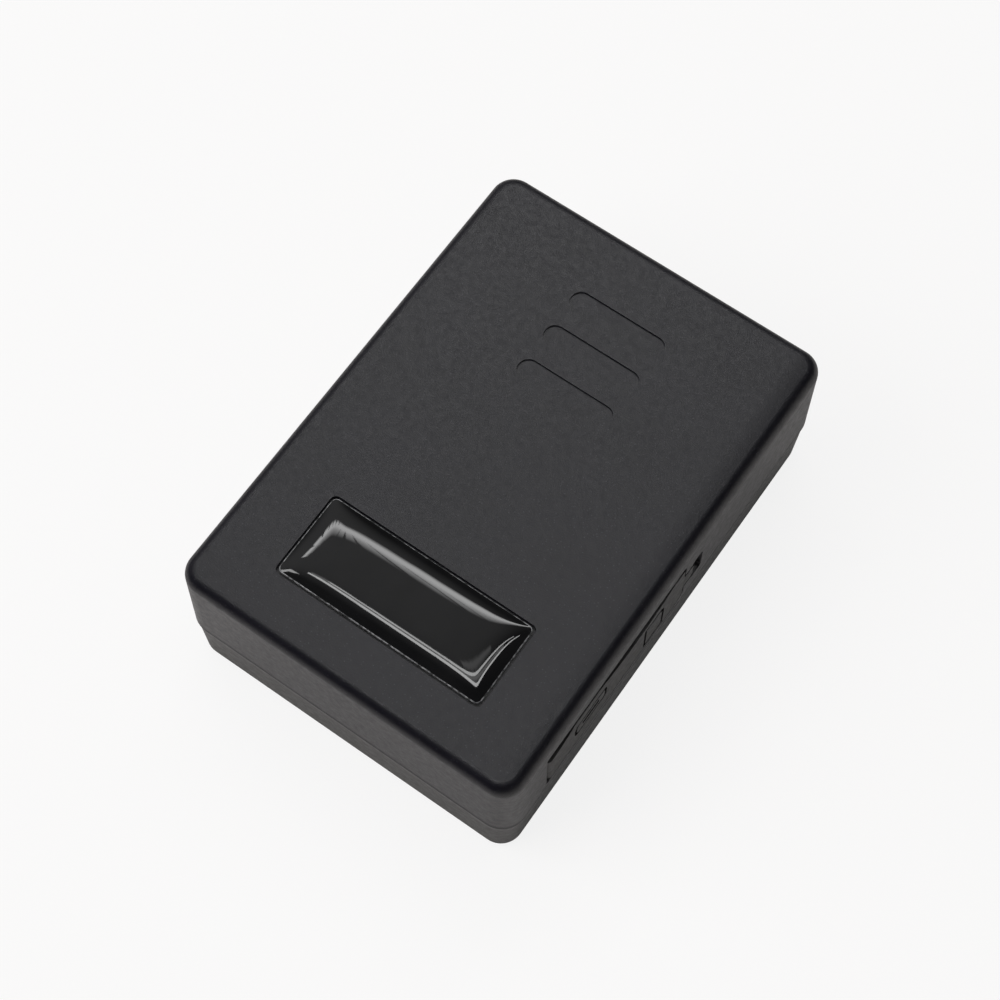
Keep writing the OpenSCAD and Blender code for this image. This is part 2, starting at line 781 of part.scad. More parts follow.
module main_board() {
    notch_low = usb_y - usb_w / 2 - notch_gap;
    notch_high = usb_y + usb_w / 2 + notch_gap;
    tab_low = switch_y - switch_w / 2 - tab_gap;
    tab_high = sim_y + sim_w / 2 + tab_gap;
    color([0.06, 0.25, 0.12]) translate([0, 0, board_under]) linear_extrude(board_t) difference() {
        union() {
            translate([(board_left + board_right) / 2, 0])
                soft_rect(board_right - board_left, board_len, board_corner_r);
            translate([board_left / 2, tab_low]) square([board_tab - board_left / 2, tab_high - tab_low]);
        }
        translate([usb_face_x - usb_overhang, notch_low]) square([bay_wall + board_tab, notch_high - notch_low]);
        for (sx = [-1, 1], sy = [-1, 1])
            translate([sx * board_screw_x, sy * board_screw_y]) circle(board_screw_d / 2 + screw_gap);
    }
}

module board_screws() {
    color([0.6, 0.6, 0.62]) at_corners(board_screw_x, board_screw_y) difference() {
        union() {
            translate([0, 0, board_under - board_head_h]) cylinder(h = board_head_h, r = board_head_d / 2);
            translate([0, 0, board_under - board_head_h / 2])
                cylinder(h = board_screw_len + board_head_h / 2, r = board_screw_d / 2);
        }
        for (turn = [0, 90]) rotate([0, 0, turn])
            translate([-drive_len_share * board_head_d / 2, -drive_w / 2, board_under - board_head_h - over])
                cube([drive_len_share * board_head_d, drive_w, drive_depth / 2 + over]);
    }
}

// Section of the charging socket, wide side up, drawn as (along, up)
module usb_section(w, h, clip) {
    polygon([
        [-w / 2 + clip, -h / 2], [w / 2 - clip, -h / 2], [w / 2, -h / 2 + clip],
        [w / 2, h / 2], [-w / 2, h / 2], [-w / 2, -h / 2 + clip]
    ]);
}

module usb_socket() {
    color([0.72, 0.72, 0.73]) translate([0, usb_y, usb_mid_z]) difference() {
        out_from(usb_face_x - usb_len, usb_len) usb_section(usb_w, usb_h, usb_chamfer);
        out_from(usb_face_x - usb_len + usb_back, usb_len)
            usb_section(usb_w - 2 * usb_skin, usb_h - 2 * usb_skin, usb_chamfer - usb_skin / 2);
    }
}

module usb_tongue() {
    color([0.05, 0.05, 0.05])
        translate([usb_face_x - usb_len + usb_back, usb_y - usb_tongue_w / 2, usb_mid_z])
            cube([usb_tongue_len, usb_tongue_w, usb_tongue_t]);
}

module power_switch_body() {
    slot_w = switch_travel + knob_w + 2 * knob_end_gap;
    color([0.6, 0.6, 0.6]) difference() {
        translate([board_tab - switch_d, switch_y - switch_w / 2, board_z]) cube([switch_d, switch_w, switch_h]);
        translate([board_tab - knob_root - knob_gap, switch_y - slot_w / 2, board_z + switch_h / 2 - knob_h / 2 - knob_gap])
            cube([knob_root + knob_gap + over, slot_w, knob_h + 2 * knob_gap]);
    }
}

module power_switch_knob() {
    color([0.08, 0.08, 0.08])
        translate([board_tab - knob_root, switch_y - switch_travel / 2 - knob_w / 2, board_z + switch_h / 2 - knob_h / 2])
            cube([knob_root + knob_reach, knob_w, knob_h]);
}

module sim_socket() {
    window_len = sim_len / 4;
    window_w = card_w / 3;
    color([0.7, 0.7, 0.71]) translate([sim_face_x - sim_len, sim_y, board_z]) difference() {
        translate([0, -sim_w / 2, 0]) cube([sim_len, sim_w, sim_h]);
        translate([sim_back, -card_w / 2 - card_gap, sim_floor])
            cube([sim_len, card_w + 2 * card_gap, sim_h - sim_floor - sim_roof]);
        for (side = [-1, 1])
            translate([sim_len / 2 - window_len / 2, side * card_w / 4 - window_w / 2, sim_h - sim_roof - over])
                cube([window_len, window_w, sim_roof + 2 * over]);
    }
}

module sim_card() {
    color([0.85, 0.85, 0.82]) translate([card_back_x + card_len, sim_y - card_w / 2, card_z])
        rotate([0, 0, 90]) linear_extrude(card_t) card_outline(card_w, card_len, card_notch);
}

module gps_patch() {
    color([0.72, 0.66, 0.52])
        translate([board_x(patch_share[0]) - patch_side / 2, board_y(patch_share[1]) - patch_side / 2, board_z])
            cube([patch_side, patch_side, patch_t]);
}

module patch_electrode() {
    side = electrode_share * patch_side;
    color([0.8, 0.79, 0.75])
        translate([board_x(patch_share[0]), board_y(patch_share[1]), board_z + patch_t])
            linear_extrude(electrode_t) difference() {
                square(side, center = true);
                for (turn = [0, 180]) rotate(turn)
                    translate([side / 2 - electrode_notch, side / 2 - electrode_notch])
                        rotate(45) square(2 * electrode_notch * sqrt(2) + over);
            }
}

// A module under a sheet-metal can with a chamfered top
module metal_can(x, y, z, side, h) {
    fold = side / 40;
    translate([x, y, z]) rotate([90, 0, 0]) linear_extrude(side, center = true)
        polygon([
            [-side / 2, 0], [side / 2, 0], [side / 2, h - fold],
            [side / 2 - fold, h], [-side / 2 + fold, h], [-side / 2, h - fold]
        ]);
}

module gps_receiver() {
    color([0.74, 0.74, 0.76])
        metal_can(board_x(receiver_share[0]), board_y(receiver_share[1]), board_z, receiver_side, receiver_h);
}

module modem_board() {
    color([0.05, 0.2, 0.1])
        translate([board_x(modem_share[0]) - modem_side / 2, board_y(modem_share[1]) - modem_side / 2, board_z])
            cube([modem_side, modem_side, modem_board_t]);
}

module modem_can() {
    color([0.76, 0.76, 0.78])
        metal_can(board_x(modem_share[0]), board_y(modem_share[1]), board_z + modem_board_t,
                  modem_side - 2 * modem_can_in, modem_can_h);
}

module cell_antenna() {
    flex_len = flex_len_share * top_len;
    color([0.75, 0.5, 0.2]) mirror([1, 0, 0])
        translate([wall_x(flex_z), 0, flex_z]) rotate([0, -lean, 0])
            translate([-wall_skin - flex_gap - flex_t, -flex_len / 2, -flex_h / 2]) cube([flex_t, flex_len, flex_h]);
}

module antenna_coax() {
    wall_side = -(wall_x(coax_z + coax_rise + coax_bend) - wall_t - flex_gap - flex_t - coax_r - 2 * flex_gap);
    start = coax_x - plug_r;
    bend_x = wall_side + coax_bend;
    color([0.1, 0.1, 0.1]) translate([0, coax_y, 0]) {
        translate([bend_x, 0, coax_z]) rotate([0, 90, 0]) linear_extrude(start - bend_x) circle(coax_r);
        translate([bend_x, 0, coax_z + coax_bend]) rotate([90, 0, 0]) rotate([0, 0, 180])
            rotate_extrude(angle = 90) translate([coax_bend, 0]) circle(coax_r);
        translate([wall_side, 0, coax_z + coax_bend]) linear_extrude(coax_rise) circle(coax_r);
    }
}

module coax_plug() {
    color([0.7, 0.6, 0.35]) translate([coax_x, coax_y, board_z + socket_h]) cylinder(h = plug_h, r = plug_r);
}

module coax_socket() {
    color([0.8, 0.7, 0.4])
        translate([coax_x - socket_side / 2, coax_y - socket_side / 2, board_z])
            cube([socket_side, socket_side, socket_h]);
}

module controller_chip() {
    color([0.07, 0.07, 0.07]) chip(controller_share, controller_size);
}

module memory_chip() {
    color([0.09, 0.09, 0.09]) chip(memory_share, memory_size);
}

module motion_sensor() {
    color([0.12, 0.12, 0.12]) chip(motion_share, motion_size);
}

module power_inductor() {
    inductor_r = inductor_side / 5;
    color([0.25, 0.25, 0.26])
        translate([board_x(inductor_share[0]), board_y(inductor_share[1]), board_z]) difference() {
            linear_extrude(inductor_h) soft_rect(inductor_side, inductor_side, inductor_r);
            translate([0, 0, inductor_h - chip_dot_depth]) cylinder(h = over, r = inductor_side / 4);
        }
}

module small_capacitors() {
    color([0.6, 0.45, 0.3])
        for (share = capacitor_shares)
            translate([board_x(share[0]) - capacitor_size[0] / 2, board_y(share[1]) - capacitor_size[1] / 2, board_z])
                cube(capacitor_size);
}

module status_leds() {
    color([0.85, 0.9, 0.85])
        for (place = [0:led_count - 1])
            translate([board_right - led_in - led_size[0] / 2, sim_y + sim_w / 2 + led_gap + place * led_pitch, board_z])
                cube(led_size);
}

// A pouch cell with round long edges and the flat terrace that holds its tabs
module pouch_cell(z) {
    edge = min(cell_edge_r, cell_round_share * cell_t);
    translate([0, -cell_len / 2, z + cell_t / 2]) rotate([-90, 0, 0])
        linear_extrude(cell_len - cell_terrace) soft_rect(cell_wid, cell_t, edge);
    translate([-guard_w / 2, cell_len / 2 - 2 * cell_terrace, z + cell_t / 2 - cell_terrace_t / 2])
        cube([guard_w, 2 * cell_terrace, cell_terrace_t]);
}

module battery_cell_lower() {
    color([0.78, 0.79, 0.8]) pouch_cell(lower_cell_z);
}

module battery_cell_upper() {
    color([0.76, 0.77, 0.78]) pouch_cell(upper_cell_z);
}

// A thin sheet centred on the cells
module cell_sheet(z, t, wid_share, len_share) {
    translate([0, -cell_terrace / 2, z]) linear_extrude(t)
        square([wid_share * (cell_wid - 2 * cell_edge_r), len_share * (cell_len - cell_terrace)], center = true);
}

module cell_tape() {
    color([0.85, 0.7, 0.3]) cell_sheet(lower_cell_z + cell_t, tape_t, tape_share, tape_share);
}

module battery_pad() {
    color([0.3, 0.3, 0.3]) cell_sheet(seat_z, pad_t, pad_share, pad_share);
}

module board_foam() {
    color([0.15, 0.15, 0.15]) cell_sheet(foam_under, foam_t, foam_wid_share, foam_len_share);
}

module protection_board() {
    color([0.1, 0.35, 0.2]) translate([-guard_w / 2, guard_y, guard_z]) cube([guard_w, guard_t, guard_h]);
}

module battery_header() {
    color([0.9, 0.9, 0.86]) translate([header_x, header_y, board_z]) difference() {
        translate([-header_w / 2, 0, 0]) cube([header_w, header_d, header_h]);
        translate([-header_w / 2 + header_skin, header_skin, header_skin])
            cube([header_w - 2 * header_skin, header_d, header_h - 2 * header_skin]);
    }
}

module battery_plug() {
    plug_w = header_w - 2 * header_skin - 2 * plug_gap;
    plug_high = header_h - 2 * header_skin - 2 * plug_gap;
    color([0.92, 0.92, 0.9]) translate([header_x, header_y + header_skin, plug_z])
        translate([-plug_w / 2, 0, -plug_high / 2]) cube([plug_w, header_d - header_skin + battery_plug_out, plug_high]);
}

module battery_lead(side) {
    bent_lead(header_x + side * lead_pitch / 2, header_y + header_d + battery_plug_out, plug_z,
              guard_y + guard_t, guard_z + guard_h / 2);
}

module battery_lead_red() {
    color([0.75, 0.08, 0.06]) battery_lead(-1);
}

module battery_lead_black() {
    color([0.05, 0.05, 0.05]) battery_lead(1);
}

base_shell();
top_shell();
case_gasket();
case_screws();
magnets();
label_film();
label_dome();
port_cover();
port_cover_anchor();
main_board();
board_screws();
usb_socket();
usb_tongue();
power_switch_body();
power_switch_knob();
sim_socket();
sim_card();
gps_patch();
patch_electrode();
gps_receiver();
modem_board();
modem_can();
cell_antenna();
antenna_coax();
coax_plug();
coax_socket();
controller_chip();
memory_chip();
motion_sensor();
power_inductor();
small_capacitors();
status_leds();
battery_cell_lower();
battery_cell_upper();
cell_tape();
battery_pad();
board_foam();
protection_board();
battery_header();
battery_plug();
battery_lead_red();
battery_lead_black();
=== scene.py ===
# %% [markdown]
# # A battery tracker in a moulded case
# The case, its seal, the board and the cells come from the CAD model as fixed parts.
# This notebook gives them their finishes, models the pieces whose looks matter most
# (the resin label, the rubber port cover, the magnets and the screws), and then sets up
# a white table, soft studio lamps and a camera.

# %% Load the CAD frame
import json
import math

import bmesh
import bpy
import numpy as np
from mathutils import Matrix, Vector


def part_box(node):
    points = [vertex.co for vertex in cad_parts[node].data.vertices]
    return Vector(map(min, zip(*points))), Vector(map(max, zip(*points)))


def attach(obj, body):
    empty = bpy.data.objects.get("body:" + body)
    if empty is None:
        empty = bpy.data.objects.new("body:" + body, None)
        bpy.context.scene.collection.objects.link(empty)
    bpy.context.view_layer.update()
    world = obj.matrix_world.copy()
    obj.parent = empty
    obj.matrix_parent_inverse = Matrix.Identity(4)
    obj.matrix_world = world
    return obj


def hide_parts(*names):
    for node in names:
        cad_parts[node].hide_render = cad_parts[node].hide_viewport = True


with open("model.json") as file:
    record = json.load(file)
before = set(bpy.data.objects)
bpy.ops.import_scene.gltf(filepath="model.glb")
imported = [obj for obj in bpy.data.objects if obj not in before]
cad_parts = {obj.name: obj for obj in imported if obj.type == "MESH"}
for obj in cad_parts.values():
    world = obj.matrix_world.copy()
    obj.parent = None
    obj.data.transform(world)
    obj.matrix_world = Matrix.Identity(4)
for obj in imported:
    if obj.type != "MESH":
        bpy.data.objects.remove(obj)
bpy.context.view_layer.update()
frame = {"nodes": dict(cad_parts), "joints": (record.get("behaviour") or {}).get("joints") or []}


# %% [markdown]
# ## Sizes
# Blender works in metres and the drawing of this part in millimetres, so one factor turns
# one into the other. The places of the new pieces come from the CAD nodes' boxes and from
# the cover's hinge, so a piece sits where the CAD says. Only the label's resin stops a
# little short of the CAD's outline at its front and its right end, as in the photograph.

# %% Millimetres, and the boxes of the nodes that get a new piece
MM = 0.001
DOME_SHORT_FRONT, DOME_SHORT_RIGHT = 0.15, 0.2

case_low, case_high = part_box("top_shell")
dome_low, dome_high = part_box("label_dome")
dome_low = dome_low + Vector((0, DOME_SHORT_FRONT, 0)) * MM
dome_high = dome_high - Vector((DOME_SHORT_RIGHT, 0, 0)) * MM
magnet_low, magnet_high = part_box("magnets")
screw_low, screw_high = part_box("case_screws")
print("top shell from", case_low[:], "to", case_high[:])

# %% [markdown]
# ## Camera
# The photograph was taken from high up at the front right corner. Six corners of the case
# gave the lens, the height and the small roll of the camera, so a point of the model falls
# on the same spot of the picture. The camera's own axes are worked out from these angles.

# %% Camera at the photograph's place
LENS_MM = 75.31
AZIMUTH = math.radians(33.506)
ELEVATION = math.radians(66.588)
ROLL = math.radians(1.651)
CAMERA_PLACE = Vector((0.074573, -0.114901, 0.333206))


def camera_axes(azimuth, elevation, roll):
    back = Vector((
        math.sin(azimuth) * math.cos(elevation),
        -math.cos(azimuth) * math.cos(elevation),
        math.sin(elevation),
    ))
    right = (-back).cross(Vector((0, 0, 1))).normalized()
    above = right.cross(-back)
    across = right * math.cos(roll) + above * math.sin(roll)
    upward = above * math.cos(roll) - right * math.sin(roll)
    return across, upward, back


across, upward, back = camera_axes(AZIMUTH, ELEVATION, ROLL)
camera_data = bpy.data.cameras.new("photo_camera")
camera_data.lens = LENS_MM
camera_data.sensor_width = 36
camera_data.dof.use_dof = False
camera_data.clip_start = 0.01
camera = bpy.data.objects.new("photo_camera", camera_data)
bpy.context.scene.collection.objects.link(camera)
camera_turn = Matrix((across, upward, back)).transposed().to_4x4()
camera.matrix_world = Matrix.Translation(CAMERA_PLACE) @ camera_turn
bpy.context.scene.camera = camera
print("camera at", [round(value, 4) for value in CAMERA_PLACE])

# %% [markdown]
# ## Helpers for modelling
# Blender's edit-mode tools act on whatever is selected, and the CAD nodes come in selected.
# So each piece starts by clearing the selection. Faces, edges and corners are then picked
# in code, by where they are or which way they face, as a modeller would click on them.


# %% Start, pick and finish a piece
def start_piece():
    if bpy.context.object and bpy.context.object.mode != "OBJECT":
        bpy.ops.object.mode_set(mode="OBJECT")
    bpy.ops.object.select_all(action="DESELECT")


def pick(piece, kind, test):
    """In edit mode, selects only the verts, edges or faces whose middle passes the test."""
    bpy.ops.mesh.select_mode(type={"verts": "VERT", "edges": "EDGE", "faces": "FACE"}[kind])
    bpy.ops.mesh.select_all(action="DESELECT")
    shape = bmesh.from_edit_mesh(piece.data)
    found = 0
    for part in getattr(shape, kind):
        if kind == "verts":
            middle = part.co
        elif kind == "edges":
            middle = (part.verts[0].co + part.verts[1].co) / 2
        else:
            middle = part.calc_center_median()
        if test(part, middle):
            part.select_set(True)
            found += 1
    shape.select_flush_mode()
    bmesh.update_edit_mesh(piece.data)
    return found


def apply_modifier(piece, kind, **values):
    modifier = piece.modifiers.new(kind.title(), kind)
    for name, value in values.items():
        setattr(modifier, name, value)
    start_piece()
    bpy.context.view_layer.objects.active = piece
    piece.select_set(True)
    bpy.ops.object.modifier_apply(modifier=modifier.name)


def settle(piece, name):
    """Leaves the piece's object at the origin, unturned and unscaled, under its own name."""
    start_piece()
    bpy.context.view_layer.objects.active = piece
    piece.select_set(True)
    bpy.ops.object.transform_apply(location=True, rotation=True, scale=True)
    piece.name = name
    piece.data.name = name
    return piece


def close_up(piece, smooth_angle=40):
    """Merges doubles, points the faces outwards and smooths all but the sharp edges."""
    start_piece()
    bpy.context.view_layer.objects.active = piece
    piece.select_set(True)
    bpy.ops.object.mode_set(mode="EDIT")
    bpy.ops.mesh.select_all(action="SELECT")
    bpy.ops.mesh.remove_doubles(threshold=1e-7)
    bpy.ops.mesh.normals_make_consistent(inside=False)
    bpy.ops.object.mode_set(mode="OBJECT")
    bpy.ops.object.shade_smooth_by_angle(angle=math.radians(smooth_angle))


# %% [markdown]
# ## Helpers for finishes
# Every finish is a small node tree on the object's own coordinates, so a pattern stays on
# the piece when it moves. The coordinates are in metres, so a noise of scale 4000 has
# grains of about a quarter of a millimetre.


# %% Nodes of a finish
def new_finish(name, **values):
    material = bpy.data.materials.new(name)
    material.use_nodes = True
    tree = material.node_tree
    surface = tree.nodes["Principled BSDF"]
    for socket, value in values.items():
        surface.inputs[socket.replace("_", " ")].default_value = value
    place = tree.nodes.new("ShaderNodeTexCoord").outputs["Object"]
    return material, tree, surface, place


def noise(tree, place, scale, detail=2.0, roughness=0.5, stretch=None):
    if stretch:
        mapping = tree.nodes.new("ShaderNodeMapping")
        mapping.inputs["Scale"].default_value = stretch
        tree.links.new(place, mapping.inputs["Vector"])
        place = mapping.outputs["Vector"]
    texture = tree.nodes.new("ShaderNodeTexNoise")
    texture.inputs["Scale"].default_value = scale
    texture.inputs["Detail"].default_value = detail
    texture.inputs["Roughness"].default_value = roughness
    tree.links.new(place, texture.inputs["Vector"])
    return texture.outputs["Fac"]


def cells(tree, place, scale, feature="F1", output="Distance", randomness=1.0):
    texture = tree.nodes.new("ShaderNodeTexVoronoi")
    texture.feature = feature
    texture.inputs["Scale"].default_value = scale
    texture.inputs["Randomness"].default_value = randomness
    tree.links.new(place, texture.inputs["Vector"])
    return texture.outputs[output]


def between(tree, factor, low, high, start=0.3, end=0.7):
    """A value or a colour that runs from low to high as the factor runs from start to end."""
    ramp = tree.nodes.new("ShaderNodeValToRGB")
    for stop, place, value in zip(ramp.color_ramp.elements, (start, end), (low, high)):
        stop.position = place
        stop.color = (value, value, value, 1) if isinstance(value, float) else (*value, 1)
    tree.links.new(factor, ramp.inputs["Fac"])
    return ramp.outputs["Color"]


def mixed(tree, factor, first, second):
    """The first colour, a node's output, or the second one where the factor is 1."""
    mix = tree.nodes.new("ShaderNodeMix")
    mix.data_type = "RGBA"
    tree.links.new(factor, mix.inputs["Factor"])
    tree.links.new(first, mix.inputs["A"])
    mix.inputs["B"].default_value = (*second, 1)
    return mix.outputs["Result"]


def arithmetic(tree, operation, *values):
    """A math node. Each value is a number or another node's output."""
    step = tree.nodes.new("ShaderNodeMath")
    step.operation = operation
    for socket, value in zip(step.inputs, values):
        if isinstance(value, (int, float)):
            socket.default_value = value
        else:
            tree.links.new(value, socket)
    return step.outputs[0]


def along_axis(tree, place, axis, steps):
    """A height from one coordinate, by steps of arithmetic. SQUARE multiplies it by itself."""
    split = tree.nodes.new("ShaderNodeSeparateXYZ")
    tree.links.new(place, split.inputs[0])
    value = split.outputs[axis]
    for operation, *number in steps:
        if operation == "SQUARE":
            value = arithmetic(tree, "MULTIPLY", value, value)
        else:
            value = arithmetic(tree, operation, value, *number)
    return value


def relief(tree, surface, heights):
    """Bumps the surface by (height, depth in millimetres) pairs, one on top of the other."""
    normal = None
    for height, depth in heights:
        bump = tree.nodes.new("ShaderNodeBump")
        bump.inputs["Strength"].default_value = 1
        bump.inputs["Distance"].default_value = depth * MM
        tree.links.new(height, bump.inputs["Height"])
        if normal:
            tree.links.new(normal, bump.inputs["Normal"])
        normal = bump.outputs["Normal"]
    tree.links.new(normal, surface.inputs["Normal"])


# %% [markdown]
# ## The case's plastic
# The two shells are moulded from black plastic in a finely eroded mould. Its grains are a
# third of a millimetre wide, with a few pale specks among them, and under them the face is
# a little cloudy. The colour itself is nearly black: the grey that the photograph shows is
# the lamp, spread out by the rough surface. So the colour stays dark and the gloss is wide.
# Two reliefs bend the light as the real moulding does: the walls swell to the parting line,
# and the top begins to fall a few millimetres before its right edge.


# %% Moulded plastic
SEAM_Z = 12.0
SEAM_REACH, SEAM_DEPTH = 1.8, 0.34
FALL_START, FALL_REACH, FALL_DEPTH = 26.6, 3.2, 0.26
SPECK_LIFT = 0.016


def seam_swell(tree, place):
    """1 at the parting line and 0 away from it."""
    return along_axis(tree, place, "Z", (
        ("SUBTRACT", SEAM_Z * MM), ("ABSOLUTE",), ("DIVIDE", SEAM_REACH * MM), ("MINIMUM", 1),
        ("SUBTRACT", 1), ("SQUARE",),
    ))


def edge_fall(tree, place):
    """0 over the top, and falling ever faster to its right edge."""
    return along_axis(tree, place, "X", (
        ("SUBTRACT", FALL_START * MM), ("MAXIMUM", 0), ("DIVIDE", FALL_REACH * MM),
        ("SQUARE",), ("MULTIPLY", -1),
    ))


def moulded_plastic(name, dark, light, gloss, grain_mm, seam=False, fall=False):
    material, tree, surface, place = new_finish(name, Specular_IOR_Level=0.5)
    clouds = between(tree, noise(tree, place, 90, detail=3), dark, light)
    specks = between(tree, cells(tree, place, 1500), 1.0, 0.0, 0.05, 0.2)
    pale = tuple(value * 2 + SPECK_LIFT for value in light)
    tree.links.new(mixed(tree, specks, clouds, pale), surface.inputs["Base Color"])
    spots = noise(tree, place, 900, detail=2)
    tree.links.new(between(tree, spots, gloss - 0.05, gloss + 0.05), surface.inputs["Roughness"])
    grains = noise(tree, place, 3000, detail=3, roughness=0.65)
    swells = noise(tree, place, 260, detail=1)
    heights = [(swells, 0.004), (grains, grain_mm)]
    if seam:
        heights.insert(0, (seam_swell(tree, place), SEAM_DEPTH))
    if fall:
        heights.insert(0, (edge_fall(tree, place), FALL_DEPTH))
    relief(tree, surface, heights)
    return material


case_plastic = moulded_plastic(
    "case_plastic", (0.0034, 0.003, 0.0062), (0.0048, 0.0043, 0.0082),
    gloss=0.41, grain_mm=0.028, seam=True, fall=True,
)
# The base wears the same black plastic painted lighter: painted light, for the light that its strip below the
# parting line catches.
base_plastic = moulded_plastic(
    "base_plastic", (0.0188, 0.018, 0.0182), (0.0232, 0.0224, 0.0226), gloss=0.46, grain_mm=0.028, seam=True
)
cover_rubber = moulded_plastic(
    "cover_rubber", (0.0065, 0.0064, 0.0062), (0.0085, 0.0083, 0.008), gloss=0.48, grain_mm=0.02
)
print("plastics ready")

# %% [markdown]
# ## Finishes of the smaller parts
# Metals are told apart by how they are made: a plated magnet is smooth, a drawn can has
# fine lines, a pouch cell is crinkled foil. Boards are green resin over a woven core with
# faint copper lines. Foam, tape and rubber are matt, each with its own pores.


# %% Metals
def metal(name, dark, light, gloss, scale, depth_mm, stretch=None):
    material, tree, surface, place = new_finish(name, Metallic=1.0)
    marks = noise(tree, place, scale, detail=3, stretch=stretch)
    tree.links.new(between(tree, marks, dark, light), surface.inputs["Base Color"])
    tree.links.new(between(tree, marks, gloss - 0.06, gloss + 0.08), surface.inputs["Roughness"])
    relief(tree, surface, [(marks, depth_mm)])
    return material


magnet_nickel = metal("magnet_nickel", (0.52, 0.51, 0.49), (0.62, 0.61, 0.58), 0.24, 700, 0.004)
screw_steel = metal("screw_steel", (0.34, 0.34, 0.35), (0.46, 0.46, 0.47), 0.3, 1500, 0.006)
can_steel = metal("can_steel", (0.5, 0.5, 0.51), (0.6, 0.6, 0.6), 0.3, 900, 0.004, (1, 0.06, 1))
socket_steel = metal("socket_steel", (0.55, 0.55, 0.55), (0.66, 0.66, 0.65), 0.22, 1200, 0.003)
cell_foil = metal("cell_foil", (0.55, 0.56, 0.57), (0.66, 0.67, 0.68), 0.34, 260, 0.05)
silver_paste = metal("silver_paste", (0.62, 0.61, 0.58), (0.72, 0.71, 0.68), 0.45, 2500, 0.006)
copper_foil = metal("copper_foil", (0.5, 0.26, 0.12), (0.66, 0.36, 0.18), 0.35, 500, 0.006, (1, 0.2, 1))
contact_gold = metal("contact_gold", (0.72, 0.5, 0.2), (0.84, 0.62, 0.3), 0.25, 1800, 0.003)
print("metals ready")


# %% Plain mouldings, ceramics, foams and sheets
def moulding(name, dark, light, gloss, scale=900, depth_mm=0.01, pores=False, specular=0.5):
    material, tree, surface, place = new_finish(name, Specular_IOR_Level=specular)
    marks = cells(tree, place, scale) if pores else noise(tree, place, scale, detail=3)
    tree.links.new(between(tree, marks, dark, light), surface.inputs["Base Color"])
    tree.links.new(between(tree, marks, gloss - 0.05, gloss + 0.06), surface.inputs["Roughness"])
    relief(tree, surface, [(marks, depth_mm)])
    return material


seal_rubber = moulding("seal_rubber", (0.012, 0.012, 0.012), (0.02, 0.02, 0.02), 0.6, 1600)
anchor_rubber = moulding(
    "anchor_rubber", (0.003, 0.003, 0.003), (0.006, 0.006, 0.006), 0.8, 1600, specular=0.15
)
black_moulding = moulding("black_moulding", (0.01, 0.01, 0.01), (0.018, 0.018, 0.018), 0.42)
chip_resin = moulding("chip_resin", (0.012, 0.012, 0.013), (0.022, 0.022, 0.022), 0.48, 3000, 0.012)
card_plastic = moulding("card_plastic", (0.72, 0.72, 0.7), (0.78, 0.78, 0.76), 0.38, 700, 0.004)
connector_white = moulding("connector_white", (0.7, 0.69, 0.64), (0.76, 0.75, 0.7), 0.4)
antenna_ceramic = moulding("antenna_ceramic", (0.5, 0.44, 0.33), (0.57, 0.51, 0.39), 0.55, 2200, 0.012)
ferrite = moulding("ferrite", (0.05, 0.05, 0.052), (0.09, 0.09, 0.09), 0.5, 3000, 0.02)
capacitor_body = moulding("capacitor_body", (0.36, 0.25, 0.15), (0.46, 0.33, 0.21), 0.38, 1400, 0.006)
led_lens = moulding("led_lens", (0.74, 0.76, 0.7), (0.82, 0.83, 0.78), 0.2, 1200, 0.003)
adhesive_sheet = moulding("adhesive_sheet", (0.55, 0.4, 0.12), (0.66, 0.5, 0.18), 0.3, 400, 0.01)
foam = moulding("foam", (0.02, 0.02, 0.021), (0.05, 0.05, 0.05), 0.85, 2600, 0.08, pores=True)
lead_red = moulding("lead_red", (0.42, 0.02, 0.015), (0.52, 0.03, 0.02), 0.4, 1500, 0.004)
lead_black = moulding("lead_black", (0.012, 0.012, 0.012), (0.02, 0.02, 0.02), 0.4, 1500, 0.004)
label_print = moulding("label_print", (0.005, 0.005, 0.006), (0.008, 0.008, 0.008), 0.3, 900, 0.002)
print("mouldings ready")


# %% Circuit board: green resin, the weave under it and faint copper lines
def board_resin(name, dark, light, track):
    material, tree, surface, place = new_finish(name, Roughness=0.32)
    mapping = tree.nodes.new("ShaderNodeMapping")
    mapping.inputs["Rotation"].default_value = (0, 0, math.radians(45))
    tree.links.new(place, mapping.inputs["Vector"])
    lanes = tree.nodes.new("ShaderNodeTexBrick")
    lanes.inputs["Scale"].default_value = 260
    lanes.inputs["Mortar Size"].default_value = 0.03
    lanes.inputs["Color1"].default_value = (*dark, 1)
    lanes.inputs["Color2"].default_value = (*light, 1)
    lanes.inputs["Mortar"].default_value = (*track, 1)
    tree.links.new(mapping.outputs["Vector"], lanes.inputs["Vector"])
    tree.links.new(lanes.outputs["Color"], surface.inputs["Base Color"])
    weave = cells(tree, place, 1400, randomness=0.25)
    relief(tree, surface, [(weave, 0.012), (lanes.outputs["Fac"], 0.02)])
    return material


board_green = board_resin(
    "board_green", dark=(0.012, 0.075, 0.03), light=(0.015, 0.09, 0.036), track=(0.03, 0.14, 0.055)
)
print("boards ready")

# %% [markdown]
# ## Clear resin over the label
# The label is a black film under a drop of clear resin that set with a glassy skin. From
# outside it reads as deep black glass that mirrors the lamps. A black base under a smooth,
# slightly wavy surface gives that without the cost of real transparency. At its rim, where
# the drop ended against air, the resin is made rough, and a thin broken pale line is painted
# into its colour there as a painted highlight along the rim's edge.


# %% Resin of the label
DOME_CORNER = 0.95 * MM
RIM_WIDE = 0.16 * MM
# Colour of the painted highlight along the resin's rim.
RIM_PAINTED_HIGHLIGHT_COLOUR = (0.36, 0.36, 0.37)


